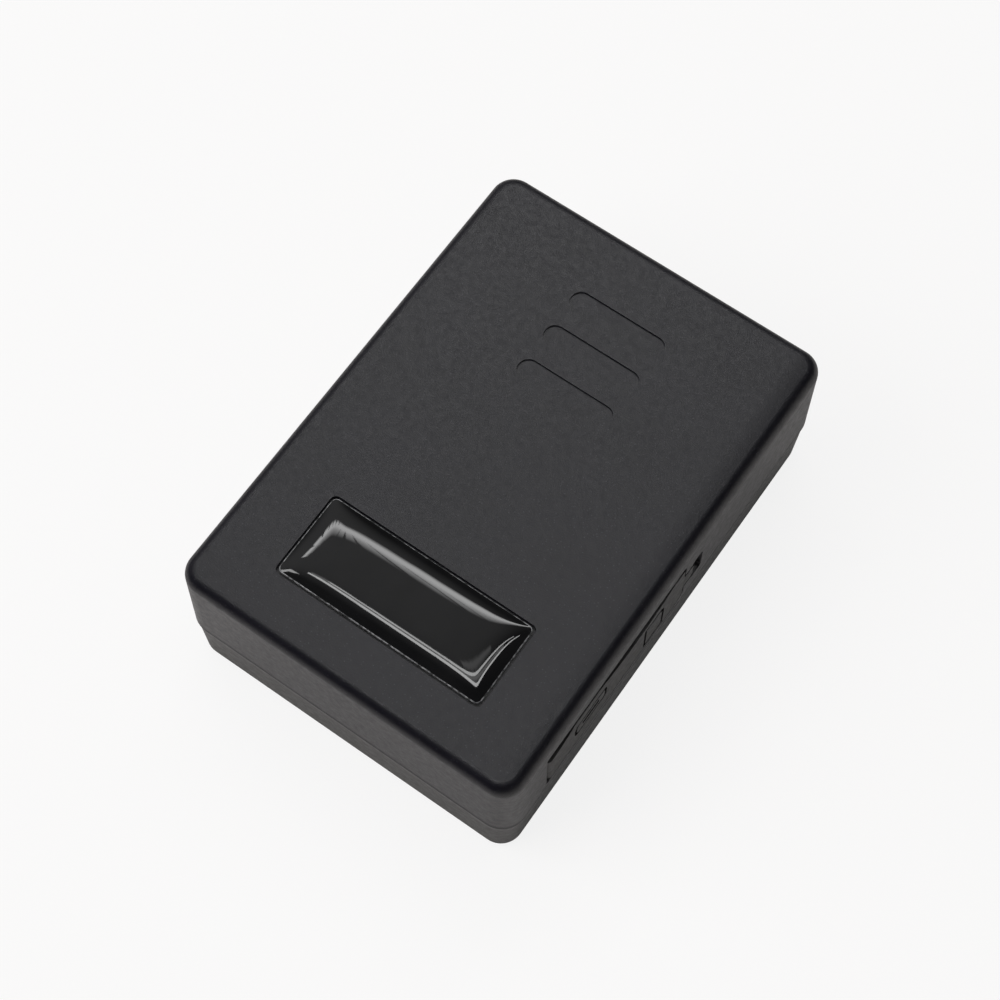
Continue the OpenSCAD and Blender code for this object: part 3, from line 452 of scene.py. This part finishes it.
def rough_rim_and_painted_highlight(tree, place):
    """1 along the outline of the dome and 0 inside it, broken up by a noise. It masks the rougher resin and the
    painted highlight along the rim.
    """
    squares = []
    for axis, low, high in (("X", dome_low.x, dome_high.x), ("Y", dome_low.y, dome_high.y)):
        squares.append(along_axis(tree, place, axis, (
            ("SUBTRACT", (low + high) / 2), ("ABSOLUTE",), ("SUBTRACT", (high - low) / 2 - DOME_CORNER),
            ("MAXIMUM", 0), ("SQUARE",),
        )))
    reach = arithmetic(tree, "POWER", arithmetic(tree, "ADD", *squares), 0.5)
    past = arithmetic(tree, "SUBTRACT", reach, DOME_CORNER - RIM_WIDE)
    rim = arithmetic(tree, "DIVIDE", past, RIM_WIDE)
    broken = between(tree, noise(tree, place, 1100, detail=2), 0.15, 1.0, 0.4, 0.62)
    return arithmetic(tree, "MULTIPLY", between(tree, rim, 0.0, 1.0, 0.0, 0.5), broken)


def resin(name):
    material, tree, surface, place = new_finish(name, IOR=1.52)
    clouds = noise(tree, place, 200, detail=2)
    rim = rough_rim_and_painted_highlight(tree, place)
    depth = between(tree, clouds, (0.004, 0.004, 0.0045), (0.007, 0.007, 0.0075))
    # The pale line mixed in at the rim is a painted highlight.
    tree.links.new(mixed(tree, rim, depth, RIM_PAINTED_HIGHLIGHT_COLOUR), surface.inputs["Base Color"])
    tree.links.new(between(tree, rim, 0.035, 0.5, 0.0, 1.0), surface.inputs["Roughness"])
    waves = noise(tree, place, 120, detail=1)
    relief(tree, surface, [(waves, 0.02)])
    return material


label_resin = resin("label_resin")
print("resin ready")

# %% [markdown]
# ## Dressing the CAD nodes
# The CAD nodes that keep their shape only change their material. One table says which node
# wears which finish, and the loop puts it into the slot that the node already has.

# %% Finish of each CAD node
FINISHES = {
    case_plastic: ["top_shell"],
    base_plastic: ["base_shell"],
    anchor_rubber: ["port_cover_anchor"],
    seal_rubber: ["case_gasket"],
    label_print: ["label_film"],
    screw_steel: ["board_screws"],
    board_green: ["main_board", "modem_board", "protection_board"],
    socket_steel: ["usb_socket", "sim_socket", "power_switch_body"],
    can_steel: ["gps_receiver", "modem_can"],
    black_moulding: ["usb_tongue", "power_switch_knob"],
    chip_resin: ["controller_chip", "memory_chip", "motion_sensor"],
    card_plastic: ["sim_card"],
    connector_white: ["battery_header", "battery_plug"],
    antenna_ceramic: ["gps_patch"],
    silver_paste: ["patch_electrode"],
    copper_foil: ["cell_antenna"],
    contact_gold: ["coax_plug", "coax_socket"],
    ferrite: ["power_inductor"],
    capacitor_body: ["small_capacitors"],
    led_lens: ["status_leds"],
    cell_foil: ["battery_cell_lower", "battery_cell_upper"],
    adhesive_sheet: ["cell_tape"],
    foam: ["battery_pad", "board_foam"],
    lead_red: ["battery_lead_red"],
    lead_black: ["battery_lead_black", "antenna_coax"],
}
dressed = set()
for material, names in FINISHES.items():
    for name in names:
        node = frame["nodes"][name]
        if not node.material_slots:
            node.data.materials.append(material)
        for slot in node.material_slots:
            slot.material = material
        dressed.add(name)
print("dressed", len(dressed), "nodes, left bare:", sorted(set(frame["nodes"]) - dressed))

# %% [markdown]
# ## The resin dome
# On the real label a measured drop of clear resin is poured on the film. It runs to the
# film's edge and stops there, so its outline is the film's and its top is a low pillow,
# steep at the rim and nearly level in the middle. A pillow could be made by hand with
# insets and a subdivision surface, but then four creases run to the corners. Here the
# plane is cut into a fine grid, and its points are let go like a stretched skin: each one
# settles between its neighbours, pushed up by the resin and held down by its own weight.

# %% Grid, rounded corners and rim of the dome
DOME_CELLS_X, DOME_CELLS_Y = 120, 48
DOME_RIM = 0.5 * MM
dome_size = dome_high - dome_low
dome_middle = (dome_low + dome_high) / 2

start_piece()
bpy.ops.mesh.primitive_grid_add(
    x_subdivisions=DOME_CELLS_X, y_subdivisions=DOME_CELLS_Y, size=1,
    location=(dome_middle.x, dome_middle.y, dome_low.z),
)
dome = bpy.context.object
dome.scale = (dome_size.x, dome_size.y, 1)
settle(dome, "label_resin_dome")
for point in dome.data.vertices:
    offset = point.co - dome_middle
    inner = Vector((
        max(-dome_size.x / 2 + DOME_CORNER, min(dome_size.x / 2 - DOME_CORNER, offset.x)),
        max(-dome_size.y / 2 + DOME_CORNER, min(dome_size.y / 2 - DOME_CORNER, offset.y)),
    ))
    away = Vector((offset.x, offset.y)) - inner
    if away.length > DOME_CORNER:
        away *= DOME_CORNER / away.length
        point.co.xy = dome_middle.xy + inner + away
bpy.ops.object.mode_set(mode="EDIT")
bpy.ops.mesh.select_all(action="SELECT")
bpy.ops.mesh.extrude_region_move(TRANSFORM_OT_translate={"value": (0, 0, DOME_RIM)})
bpy.ops.object.mode_set(mode="OBJECT")
print("dome grid:", len(dome.data.vertices), "points")

# %% The resin settles
DOME_WEIGHT = 2.2 * MM
DOME_SWEEPS = 900


def settle_skin(piece, floor_z, rim_z, top_z):
    """Relaxes the free points above the rim and scales their rise to the wanted height."""
    shape = bmesh.new()
    shape.from_mesh(piece.data)
    shape.verts.ensure_lookup_table()
    top = [v for v in shape.verts if v.co.z > (floor_z + rim_z) / 2]
    top_set = set(top)
    links = {}
    for v in top:
        near = [e.other_vert(v) for e in v.link_edges if e.other_vert(v) in top_set]
        links[v] = near if len(near) == 4 and all(f.normal.z > 0.5 for f in v.link_faces) else None
    rows = {v: i for i, v in enumerate(top)}
    free = np.array([rows[v] for v in top if links[v]])
    near = np.array([[rows[n] for n in links[v]] for v in top if links[v]])
    rise = np.zeros(len(top))
    step = dome_size.x / DOME_CELLS_X
    hold = 1 + (step / DOME_WEIGHT) ** 2 / 4
    for _ in range(DOME_SWEEPS):
        rise[free] = (rise[near].mean(axis=1) + 1) / hold
    rise *= (top_z - rim_z) / rise.max()
    for v, height in zip(top, rise):
        v.co.z = rim_z + height
    shape.to_mesh(piece.data)
    shape.free()
    return len(free)


settled = settle_skin(dome, dome_low.z, dome_low.z + DOME_RIM, dome_high.z)
close_up(dome, smooth_angle=50)
dome.data.materials.append(label_resin)
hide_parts("label_dome")
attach(dome, "case")
dome_top = max(point.co.z for point in dome.data.vertices)
print("settled", settled, "points; dome top at", round(dome_top / MM, 2), "mm")

# %% [markdown]
# ## The port cover
# The cover is one soft moulding: a plate that lies flush in the wall, rolled round at its
# hinge end, with a nail tongue at the other, a hollow plug that fills the charging window
# and a blade for the card slot. Rubber never lies quite straight, so its upper edge has
# sunk and leaves a wide dark gap. It could be drawn as one outline and extruded, but a
# block that is bevelled and cut keeps each radius where a toolmaker would put it.
# The wall leans a little, so the cover is modelled upright and laid on the wall at the end.

# %% Helpers for cutting and joining
def block(name, low, high):
    """A box between two corners, in millimetres."""
    start_piece()
    middle = [(a + b) / 2 * MM for a, b in zip(low, high)]
    bpy.ops.mesh.primitive_cube_add(size=1, location=middle)
    box = bpy.context.object
    box.scale = [(b - a) * MM for a, b in zip(low, high)]
    return settle(box, name)


def round_edges(piece, radius, segments, test):
    """Bevels the edges whose middle, in millimetres, passes the test."""
    start_piece()
    bpy.context.view_layer.objects.active = piece
    bpy.ops.object.mode_set(mode="EDIT")
    found = pick(piece, "edges", lambda edge, middle: test(edge, middle / MM))
    bpy.ops.mesh.bevel(offset=radius * MM, segments=segments, affect="EDGES")
    bpy.ops.object.mode_set(mode="OBJECT")
    return found


def through_wall(edge, tolerance=1e-6):
    """True for an edge that runs along X, through the plate."""
    along = edge.verts[0].co - edge.verts[1].co
    return abs(along.y) < tolerance and abs(along.z) < tolerance


def combine(piece, other, operation):
    apply_modifier(piece, "BOOLEAN", operation=operation, solver="EXACT", object=other)
    bpy.data.objects.remove(other, do_unlink=True)
    return piece


def wall_block(name, back, front, middle, half, radius, segments=6):
    """A block through the wall, rounded about X. Its middle and its half size are (y, z)."""
    low = (back, middle[0] - half[0], middle[1] - half[1])
    high = (front, middle[0] + half[0], middle[1] + half[1])
    piece = block(name, low, high)
    round_edges(piece, radius, segments, lambda edge, middle: through_wall(edge))
    return piece


def open_edges(piece):
    shape = bmesh.new()
    shape.from_mesh(piece.data)
    count = sum(1 for edge in shape.edges if len(edge.link_faces) != 2)
    shape.free()
    return count


# %% Plate, tongue and sunk upper edge
COVER_FACE, COVER_BACK = -0.03, -1.2
COVER_END, COVER_REAR, COVER_TIP = -34.75, 3.45, 6.25
COVER_LOW, COVER_TOP = -5.92, 4.6
TONGUE_LOW, TONGUE_TOP = -2.1, 1.5
HINGE_ROUND, NEAR = 0.8, 0.01
DIP_LEVEL, DIP_LONG = 5.7, 8
CORNERS = (
    (COVER_REAR, COVER_LOW, 2.0), (COVER_REAR, COVER_TOP, 0.8), (COVER_TIP, TONGUE_LOW, 0.8),
    (COVER_TIP, TONGUE_TOP, 0.8), (COVER_REAR, TONGUE_LOW, 0.5), (COVER_REAR, TONGUE_TOP, 0.5),
    (COVER_END, COVER_LOW, 0.3),
)

cover = block("rubber_port_cover", (COVER_BACK, COVER_END, COVER_LOW), (COVER_FACE, COVER_REAR, COVER_TOP))
bpy.context.view_layer.objects.active = cover
bpy.ops.object.mode_set(mode="EDIT")
for height in (TONGUE_LOW, TONGUE_TOP):
    bpy.ops.mesh.select_all(action="SELECT")
    bpy.ops.mesh.bisect(plane_co=(0, 0, height * MM), plane_no=(0, 0, 1))
pick(cover, "faces", lambda face, middle: (
    face.normal.y > 0.9 and TONGUE_LOW * MM < middle.z < TONGUE_TOP * MM
))
bpy.ops.mesh.extrude_region_move(TRANSFORM_OT_translate={"value": (0, (COVER_TIP - COVER_REAR) * MM, 0)})
bpy.ops.object.mode_set(mode="OBJECT")
corners = 0
for y, z, radius in CORNERS:
    corners += round_edges(cover, radius, 6, lambda edge, middle: (
        through_wall(edge) and abs(middle.y - y) < NEAR and abs(middle.z - z) < NEAR
    ))
round_edges(cover, HINGE_ROUND, 6, lambda edge, middle: (
    abs(middle.x - COVER_FACE) < NEAR and abs(middle.y - COVER_END) < NEAR
))
for y, reach, depth in ((COVER_END, 8.5, 3.0), (-10.35, 13.0, 2.7)):
    bend = (reach * reach + depth * depth) / (2 * depth)
    start_piece()
    bpy.ops.mesh.primitive_cylinder_add(
        vertices=256, radius=bend * MM, depth=DIP_LONG * MM, rotation=(0, math.pi / 2, 0),
        location=(0, y * MM, (DIP_LEVEL - depth + bend) * MM),
    )
    combine(cover, settle(bpy.context.object, "dip"), "DIFFERENCE")
print("plate corners rounded:", corners, "open edges:", open_edges(cover))

# %% Plug, blade, round edges and engraved marks
PLUG_Y, PLUG_Z = -23.15, 0.45
PLUG_HALF, HOLLOW_HALF = (5.4, 3.4), (4.5, 2.5)
CARD_Y, BLADE_HALF = -5.15, (4.35, 0.5)
MARK_DEPTH, MARK_LINE = 0.5, 0.55
MARK_BACK, MARK_FRONT = COVER_FACE - MARK_DEPTH, 1
CARD_HALF, CARD_LOW, CARD_TOP = 2.8, -5.2, 1.8
PIVOT_BEHIND_WALL = 0.65
card_low, card_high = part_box("sim_card")
hinge = next(joint for joint in frame["joints"] if joint["name"] == "port_cover_hinge")
wall_up = -Vector(hinge["axis"]).normalized()
wall_out = Vector((0, 1, 0)).cross(wall_up)
wall_origin = Vector(hinge["pos_m"]) + wall_out * PIVOT_BEHIND_WALL * MM
wall_origin.y = 0
blade_z = ((card_low.z + card_high.z) / 2 - wall_origin.z) / MM

apply_modifier(cover, "BEVEL", width=0.3 * MM, segments=4, limit_method="ANGLE", angle_limit=math.radians(40))
plug = wall_block("plug", -3.0, -0.7, (PLUG_Y, PLUG_Z), PLUG_HALF, 1.2)
hollow = wall_block("hollow", -4.0, -1.25, (PLUG_Y, PLUG_Z), HOLLOW_HALF, 0.6)
combine(cover, combine(plug, hollow, "DIFFERENCE"), "UNION")
blade = wall_block("blade", -2.25, -0.8, (CARD_Y, blade_z), BLADE_HALF, 0.25, 4)
combine(cover, blade, "UNION")


def ring(name, middle, half, radius):
    """The outline of a rounded rectangle, as a cutter that reaches into the plate's face."""
    outer = wall_block(name, MARK_BACK, MARK_FRONT, middle, half, radius)
    inner_half = (half[0] - MARK_LINE, half[1] - MARK_LINE)
    inner = wall_block("core", MARK_BACK - 1, MARK_FRONT + 1, middle, inner_half, radius - MARK_LINE / 2)
    return combine(outer, inner, "DIFFERENCE")


combine(cover, ring("port_mark", (PLUG_Y, 0), (4.45, 2.0), 1.0), "DIFFERENCE")
bar = wall_block("bar", MARK_BACK, MARK_FRONT, (PLUG_Y, 0), (2.3, MARK_LINE), 0.25, 4)
combine(cover, bar, "DIFFERENCE")


def card_block(name, deep, inset, clip):
    """A block in the shape of the card mark, with its upper corner at the tongue's end cut off."""
    low = (deep, CARD_Y - CARD_HALF + inset, CARD_LOW + inset)
    high = (MARK_FRONT, CARD_Y + CARD_HALF - inset, CARD_TOP - inset)
    piece = block(name, low, high)
    round_edges(piece, clip, 1, lambda edge, middle: (
        through_wall(edge) and middle.y > CARD_Y and middle.z > 0
    ))
    return piece


card_core = card_block("core", COVER_FACE - 1, MARK_LINE, 0.8)
combine(cover, combine(card_block("card_mark", MARK_BACK, 0, 1.0), card_core, "DIFFERENCE"), "DIFFERENCE")
print("cover:", len(cover.data.polygons), "faces, open edges:", open_edges(cover))

# %% The cover goes on the leaning wall
wall_turn = Matrix((wall_out, (0, 1, 0), wall_up)).transposed().to_4x4()
cover.matrix_world = Matrix.Translation(wall_origin) @ wall_turn
settle(cover, "rubber_port_cover")
close_up(cover, smooth_angle=35)
cover.data.materials.append(cover_rubber)
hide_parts("port_cover")
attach(cover, "port_cover")
cover_corner = [min(point.co[axis] for point in cover.data.vertices) for axis in range(3)]
print("cover from", [round(value / MM, 2) for value in cover_corner])

# %% [markdown]
# ## Magnets
# Five nickel-plated discs sit in round pockets in the underside. A pressed and ground
# magnet has a chamfer all round, because its edge would chip, and its plating pulls a low
# rim there. A plain cylinder would show none of this, so its rims are bevelled and its
# lower face is inset and sunk a little. One disc is modelled, the others are copies.

# %% One disc and its copies
MAGNET_RADIUS, MAGNET_CHAMFER = 7.5, 0.4
MAGNET_INSET, MAGNET_SUNK = 0.5, 0.05
magnet_thick = (magnet_high.z - magnet_low.z) / MM


def copy_to(piece, name, place):
    """A copy with its own mesh, moved to its place in the mesh itself."""
    twin = piece.copy()
    twin.data = piece.data.copy()
    bpy.context.scene.collection.objects.link(twin)
    twin.location = place
    return settle(twin, name)


start_piece()
bpy.ops.mesh.primitive_cylinder_add(vertices=96, radius=MAGNET_RADIUS * MM, depth=magnet_thick * MM)
disc = settle(bpy.context.object, "disc")
round_edges(disc, MAGNET_CHAMFER, 3, lambda edge, middle: abs(abs(middle.z) - magnet_thick / 2) < NEAR)
bpy.ops.object.mode_set(mode="EDIT")
pick(disc, "faces", lambda face, middle: face.normal.z < -0.99)
bpy.ops.mesh.inset(thickness=MAGNET_INSET * MM)
bpy.ops.transform.translate(value=(0, 0, MAGNET_SUNK * MM))
bpy.ops.object.mode_set(mode="OBJECT")
close_up(disc, smooth_angle=25)
disc.data.materials.append(magnet_nickel)

side_x = magnet_high.x - MAGNET_RADIUS * MM
side_y = magnet_high.y - MAGNET_RADIUS * MM
middle_z = (magnet_low.z + magnet_high.z) / 2
for name, x, y in (
    ("magnet_middle", 0, 0), ("magnet_front_left", -side_x, -side_y), ("magnet_front_right", side_x, -side_y),
    ("magnet_rear_left", -side_x, side_y), ("magnet_rear_right", side_x, side_y),
):
    magnet = copy_to(disc, name, (x, y, middle_z))
    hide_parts("magnets")
    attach(magnet, "case")
bpy.data.objects.remove(disc, do_unlink=True)
print("magnets at", round(side_x / MM, 2), round(side_y / MM, 2), "mm")

# %% [markdown]
# ## Case screws
# Four pan-head screws come up from the underside. Their heads lie deep in the base, each
# with a cross recess, and their shanks are rolled threads. A true spiral could be made
# with a screw modifier, but its ends are hard to close. Rings that are extruded and
# narrowed by turns look the same at this size and stay a clean closed mesh.

# %% One screw and its copies
SCREW_HEAD_RADIUS, SCREW_HEAD_HIGH, SCREW_HEAD_ROUND = 1.9, 1.6, 0.75
SCREW_RADIUS, SCREW_CORE, SCREW_PITCH, SCREW_TURNS = 0.8, 0.6, 0.6, 16
SCREW_NECK, SCREW_TIP = 0.8, 0.7
CROSS_LONG, CROSS_WIDE, CROSS_DEEP, CROSS_TAPER = 2.5, 0.55, 1.5, 0.55

start_piece()
bpy.ops.mesh.primitive_cylinder_add(
    vertices=64, radius=SCREW_HEAD_RADIUS * MM, depth=SCREW_HEAD_HIGH * MM,
    location=(0, 0, -SCREW_HEAD_HIGH / 2 * MM),
)
screw = settle(bpy.context.object, "screw")
round_edges(screw, SCREW_HEAD_ROUND, 6, lambda edge, middle: middle.z < -SCREW_HEAD_HIGH + NEAR)
for turn in (0, math.pi / 2):
    start_piece()
    bpy.ops.mesh.primitive_cube_add(size=1, location=(0, 0, -1.45 * MM), rotation=(0, 0, turn))
    slot_cut = bpy.context.object
    slot_cut.scale = (CROSS_LONG * MM, CROSS_WIDE * MM, CROSS_DEEP * MM)
    settle(slot_cut, "slot_cut")
    bpy.ops.object.mode_set(mode="EDIT")
    pick(slot_cut, "faces", lambda face, middle: face.normal.z > 0.9)
    bpy.ops.transform.resize(value=(CROSS_TAPER, CROSS_TAPER, 1), center_override=(0, 0, 0))
    bpy.ops.object.mode_set(mode="OBJECT")
    combine(screw, slot_cut, "DIFFERENCE")

start_piece()
bpy.ops.mesh.primitive_circle_add(
    vertices=32, radius=SCREW_RADIUS * MM, fill_type="NGON", location=(0, 0, -0.2 * MM),
)
shank = settle(bpy.context.object, "shank")
bpy.ops.object.mode_set(mode="EDIT")
bpy.ops.mesh.select_all(action="SELECT")
bpy.ops.mesh.extrude_region_move(TRANSFORM_OT_translate={"value": (0, 0, SCREW_NECK * MM)})
for _ in range(SCREW_TURNS):
    for ratio in (SCREW_CORE / SCREW_RADIUS, SCREW_RADIUS / SCREW_CORE):
        bpy.ops.mesh.extrude_region_move(TRANSFORM_OT_translate={"value": (0, 0, SCREW_PITCH / 2 * MM)})
        bpy.ops.transform.resize(value=(ratio, ratio, 1), center_override=(0, 0, 0))
bpy.ops.mesh.extrude_region_move(TRANSFORM_OT_translate={"value": (0, 0, SCREW_TIP * MM)})
bpy.ops.transform.resize(value=(0.3, 0.3, 1), center_override=(0, 0, 0))
bpy.ops.object.mode_set(mode="OBJECT")
combine(screw, shank, "UNION")
close_up(screw, smooth_angle=30)
screw.data.materials.append(screw_steel)
print("screw:", len(screw.data.polygons), "faces, open edges:", open_edges(screw))

screw_x = screw_high.x - SCREW_HEAD_RADIUS * MM
screw_y = screw_high.y - SCREW_HEAD_RADIUS * MM
for name, x, y in (
    ("screw_front_left", -screw_x, -screw_y), ("screw_front_right", screw_x, -screw_y),
    ("screw_rear_left", -screw_x, screw_y), ("screw_rear_right", screw_x, screw_y),
):
    twin = copy_to(screw, name, (x, y, screw_low.z + SCREW_HEAD_HIGH * MM))
    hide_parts("case_screws")
    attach(twin, "case")
bpy.data.objects.remove(screw, do_unlink=True)
print("screws at", round(screw_x / MM, 2), round(screw_y / MM, 2), "mm")

# %% [markdown]
# ## The table
# The case stands on a plain white table. The table is white by its own colour, and for the
# camera most of its light is its own, so that it reads as the photograph's white ground and
# still keeps a soft shadow. Walls that mirror it see mostly the lit table, which is darker
# close to the case's foot: this is what shades the walls towards the bottom. From below the
# table is clear, so that the magnets and the screws can be looked at.

# %% White table
TABLE_SIZE, TABLE_GAP = 4, 0.1
GLOW_SHARES = (("Is Camera Ray", 0.85), ("Is Glossy Ray", 0.12), ("Is Transmission Ray", 0.12))

start_piece()
bpy.ops.mesh.primitive_grid_add(
    x_subdivisions=8, y_subdivisions=8, size=TABLE_SIZE, location=(0, 0, -TABLE_GAP * MM),
)
table = settle(bpy.context.object, "white_table")
table_white = bpy.data.materials.new("table_white")
table_white.use_nodes = True
tree = table_white.node_tree
board = tree.nodes["Principled BSDF"]
board.inputs["Base Color"].default_value = (0.92, 0.885, 0.865, 1)
board.inputs["Roughness"].default_value = 0.9
board.inputs["Specular IOR Level"].default_value = 0
ray = tree.nodes.new("ShaderNodeLightPath")
glow = tree.nodes.new("ShaderNodeEmission")
blend = tree.nodes.new("ShaderNodeMixShader")
share = 0
for kind, amount in GLOW_SHARES:
    share = arithmetic(tree, "MULTIPLY_ADD", ray.outputs[kind], amount, share)
tree.links.new(share, blend.inputs["Fac"])
tree.links.new(board.outputs[0], blend.inputs[1])
tree.links.new(glow.outputs[0], blend.inputs[2])
clear = tree.nodes.new("ShaderNodeMixShader")
tree.links.new(tree.nodes.new("ShaderNodeNewGeometry").outputs["Backfacing"], clear.inputs["Fac"])
tree.links.new(blend.outputs[0], clear.inputs[1])
tree.links.new(tree.nodes.new("ShaderNodeBsdfTransparent").outputs[0], clear.inputs[2])
tree.links.new(clear.outputs[0], tree.nodes["Material Output"].inputs["Surface"])
table.data.materials.append(table_white)

# %% [markdown]
# ## Lamps
# The label's resin is a mirror, so it shows where the photograph's lamps hung. A point of
# the photo's highlight, the slope of the resin there and the camera's place give one ray to
# a lamp. Together those rays draw a broad band behind the case and a pair of thin tubes, with
# a soft glow about them, that turn a corner at its front right. A few soft boxes at random
# places would light the case as well, but then the label's lines would not run like this.
# The lamps are laid out on a ceiling: a place on it is given by how far it lies to the right
# and back per unit of height.


# %% Lamps with a flat face
CEILING = 1.2
SOFT_FADE = ((0.3, 0.55), (0.65, 1.0), (0.85, 0.5))


def flat_lamp(name, place, behind, along, width, height, radiance, soft=False):
    """A rectangular lamp that shines away from the direction behind it. Radiance 1 looks
    white in a mirror. A soft one fades towards its long edges."""
    lamp = bpy.data.lights.new(name, "AREA")
    lamp.shape = "RECTANGLE"
    lamp.size, lamp.size_y = width, height
    lamp.energy = radiance * math.pi * width * height
    holder = bpy.data.objects.new(name, lamp)
    bpy.context.scene.collection.objects.link(holder)
    behind = Vector(behind).normalized()
    side = (Vector(along) - behind * behind.dot(Vector(along))).normalized()
    turned = Matrix((side, behind.cross(side), behind)).transposed()
    holder.matrix_world = Matrix.Translation(place) @ turned.to_4x4()
    if soft:
        lamp.use_nodes = True
        tree = lamp.node_tree
        split = tree.nodes.new("ShaderNodeSeparateXYZ")
        fade = tree.nodes.new("ShaderNodeFloatCurve")
        for point in SOFT_FADE:
            fade.mapping.curves[0].points.new(*point)
        fade.mapping.curves[0].points[-1].location = (1, 0)
        fade.mapping.update()
        tree.links.new(tree.nodes.new("ShaderNodeNewGeometry").outputs["Parametric"], split.inputs[0])
        tree.links.new(split.outputs["Y"], fade.inputs["Value"])
        tree.links.new(fade.outputs[0], tree.nodes["Emission"].inputs["Strength"])
    return holder


# %% Tubes and band on the ceiling
def on_curve(p, q, r, s, t):
    """A value on a smooth curve, t of the way from q to r, with p before and s after them."""
    linear, square, cube = r - p, 2 * p - 5 * q + 4 * r - s, 3 * q - p - 3 * r + s
    return 0.5 * (2 * q + linear * t + square * t ** 2 + cube * t ** 3)


def smooth_path(places, steps=3):
    """Points on a smooth curve through the places; each is (right, back, width)."""
    ends = [places[0], *places, places[-1]]
    points = []
    for a, b, c, d in zip(ends, ends[1:], ends[2:], ends[3:]):
        for step in range(steps):
            points.append(tuple(on_curve(*values, step / steps) for values in zip(a, b, c, d)))
    return [*points, places[-1]]


def tubes(name, places, radiance, soft=False):
    """A row of lamps that look straight down, along a smooth path on the ceiling."""
    path = smooth_path(places)
    for number, (start, end) in enumerate(zip(path, path[1:])):
        width = (start[2] + end[2]) / 2
        start, end = Vector((*start[:2], 1)), Vector((*end[:2], 1))
        flat_lamp(
            f"{name}_{number}", dome_middle + (start + end) / 2 * CEILING, (0, 0, 1), end - start,
            (end - start).length * CEILING, width * CEILING, radiance, soft,
        )


tubes("outer_tube", [
    (-0.38, -0.115, 0.04), (-0.2, -0.1, 0.06), (0.02, -0.02, 0.05), (0.15, 0.06, 0.04), (0.22, 0.2, 0.04),
    (0.32, 0.48, 0.03),
], 8)
tubes("inner_tube", [
    (-0.3, -0.05, 0.02), (-0.11, 0.01, 0.04), (0.04, 0.12, 0.035), (0.13, 0.28, 0.03), (0.22, 0.46, 0.02),
], 7)
tubes("back_band", [
    (-0.7, 0.2, 0.14), (-0.69, 0.35, 0.24), (-0.59, 0.46, 0.22), (-0.42, 0.49, 0.2), (-0.3, 0.58, 0.22),
    (-0.23, 0.72, 0.22), (-0.16, 0.92, 0.2), (-0.05, 1.15, 0.16),
], 6.8, soft=True)
tubes("corner_glow", [(-0.12, 0.08, 0.08), (-0.02, 0.16, 0.16), (0.04, 0.3, 0.1)], 0.8, soft=True)
tubes("front_glow", [
    (-0.36, -0.1, 0.12), (-0.16, -0.05, 0.15), (0.03, 0.04, 0.14), (0.15, 0.17, 0.1), (0.23, 0.34, 0.08),
], 1.6, soft=True)
tubes("left_end", [(-0.56, -0.16, 0.04), (-0.42, -0.3, 0.05)], 6)
print("lamps:", len(bpy.data.lights))

# %% [markdown]
# Black plastic shows little but mirror images, while the table and every pale part need
# enough light to show their own colour. A large soft box at the front left gives it. It is
# switched off for mirror images, because the photo's front edge and label mirror a dark room
# there.

# %% Fill at the front left
FILL_AWAY, FILL_SIZE, FILL_RADIANCE = 1.5, 1.3, 2.8
fill_side = Vector((-1.1, -1.0, 1)).normalized()
fill_box = flat_lamp(
    "fill_box", dome_middle + fill_side * FILL_AWAY, fill_side, (1, -1, 0), FILL_SIZE, FILL_SIZE, FILL_RADIANCE,
)
fill_box.visible_glossy = False


# %% Glow of the tent
UNDER_TABLE = 0.85


def ranged(tree, value, start, end, low, high, smooth=False):
    """A value that runs from low to high as the given one runs from start to end."""
    step = tree.nodes.new("ShaderNodeMapRange")
    step.interpolation_type = "SMOOTHSTEP" if smooth else "LINEAR"
    for socket, number in zip(("From Min", "From Max", "To Min", "To Max"), (start, end, low, high)):
        step.inputs[socket].default_value = number
    tree.links.new(value, step.inputs["Value"])
    return step.outputs["Result"]


def tent_glow(dark, light, towards, start, end, backdrop):
    """A dark room with a soft glow in one direction and white under the table. The camera
    sees a plain backdrop in its place."""
    world = bpy.data.worlds.new("light_tent")
    bpy.context.scene.world = world
    world.use_nodes = True
    tree = world.node_tree
    place = tree.nodes.new("ShaderNodeTexCoord").outputs["Generated"]
    facing = tree.nodes.new("ShaderNodeVectorMath")
    facing.operation = "DOT_PRODUCT"
    facing.inputs[1].default_value = Vector(towards).normalized()
    tree.links.new(place, facing.inputs[0])
    level = ranged(tree, facing.outputs["Value"], start, end, dark, light, smooth=True)
    split = tree.nodes.new("ShaderNodeSeparateXYZ")
    tree.links.new(place, split.inputs[0])
    below = ranged(tree, split.outputs["Z"], -0.1, 0, UNDER_TABLE, 0)
    seen = tree.nodes.new("ShaderNodeMix")
    seen.inputs["B"].default_value = backdrop
    tree.links.new(tree.nodes.new("ShaderNodeLightPath").outputs["Is Camera Ray"], seen.inputs["Factor"])
    tree.links.new(arithmetic(tree, "ADD", level, below), seen.inputs["A"])
    tree.links.new(seen.outputs["Result"], tree.nodes["Background"].inputs["Strength"])
    tree.nodes["Background"].inputs["Color"].default_value = (1, 1, 1, 1)
    return world


tent_glow(dark=0.05, light=0.47, towards=(-0.5, 0.3, 0.8), start=0.74, end=1.0, backdrop=0.95)
bpy.context.scene.view_settings.view_transform = "Standard"
print("tent glow ready")
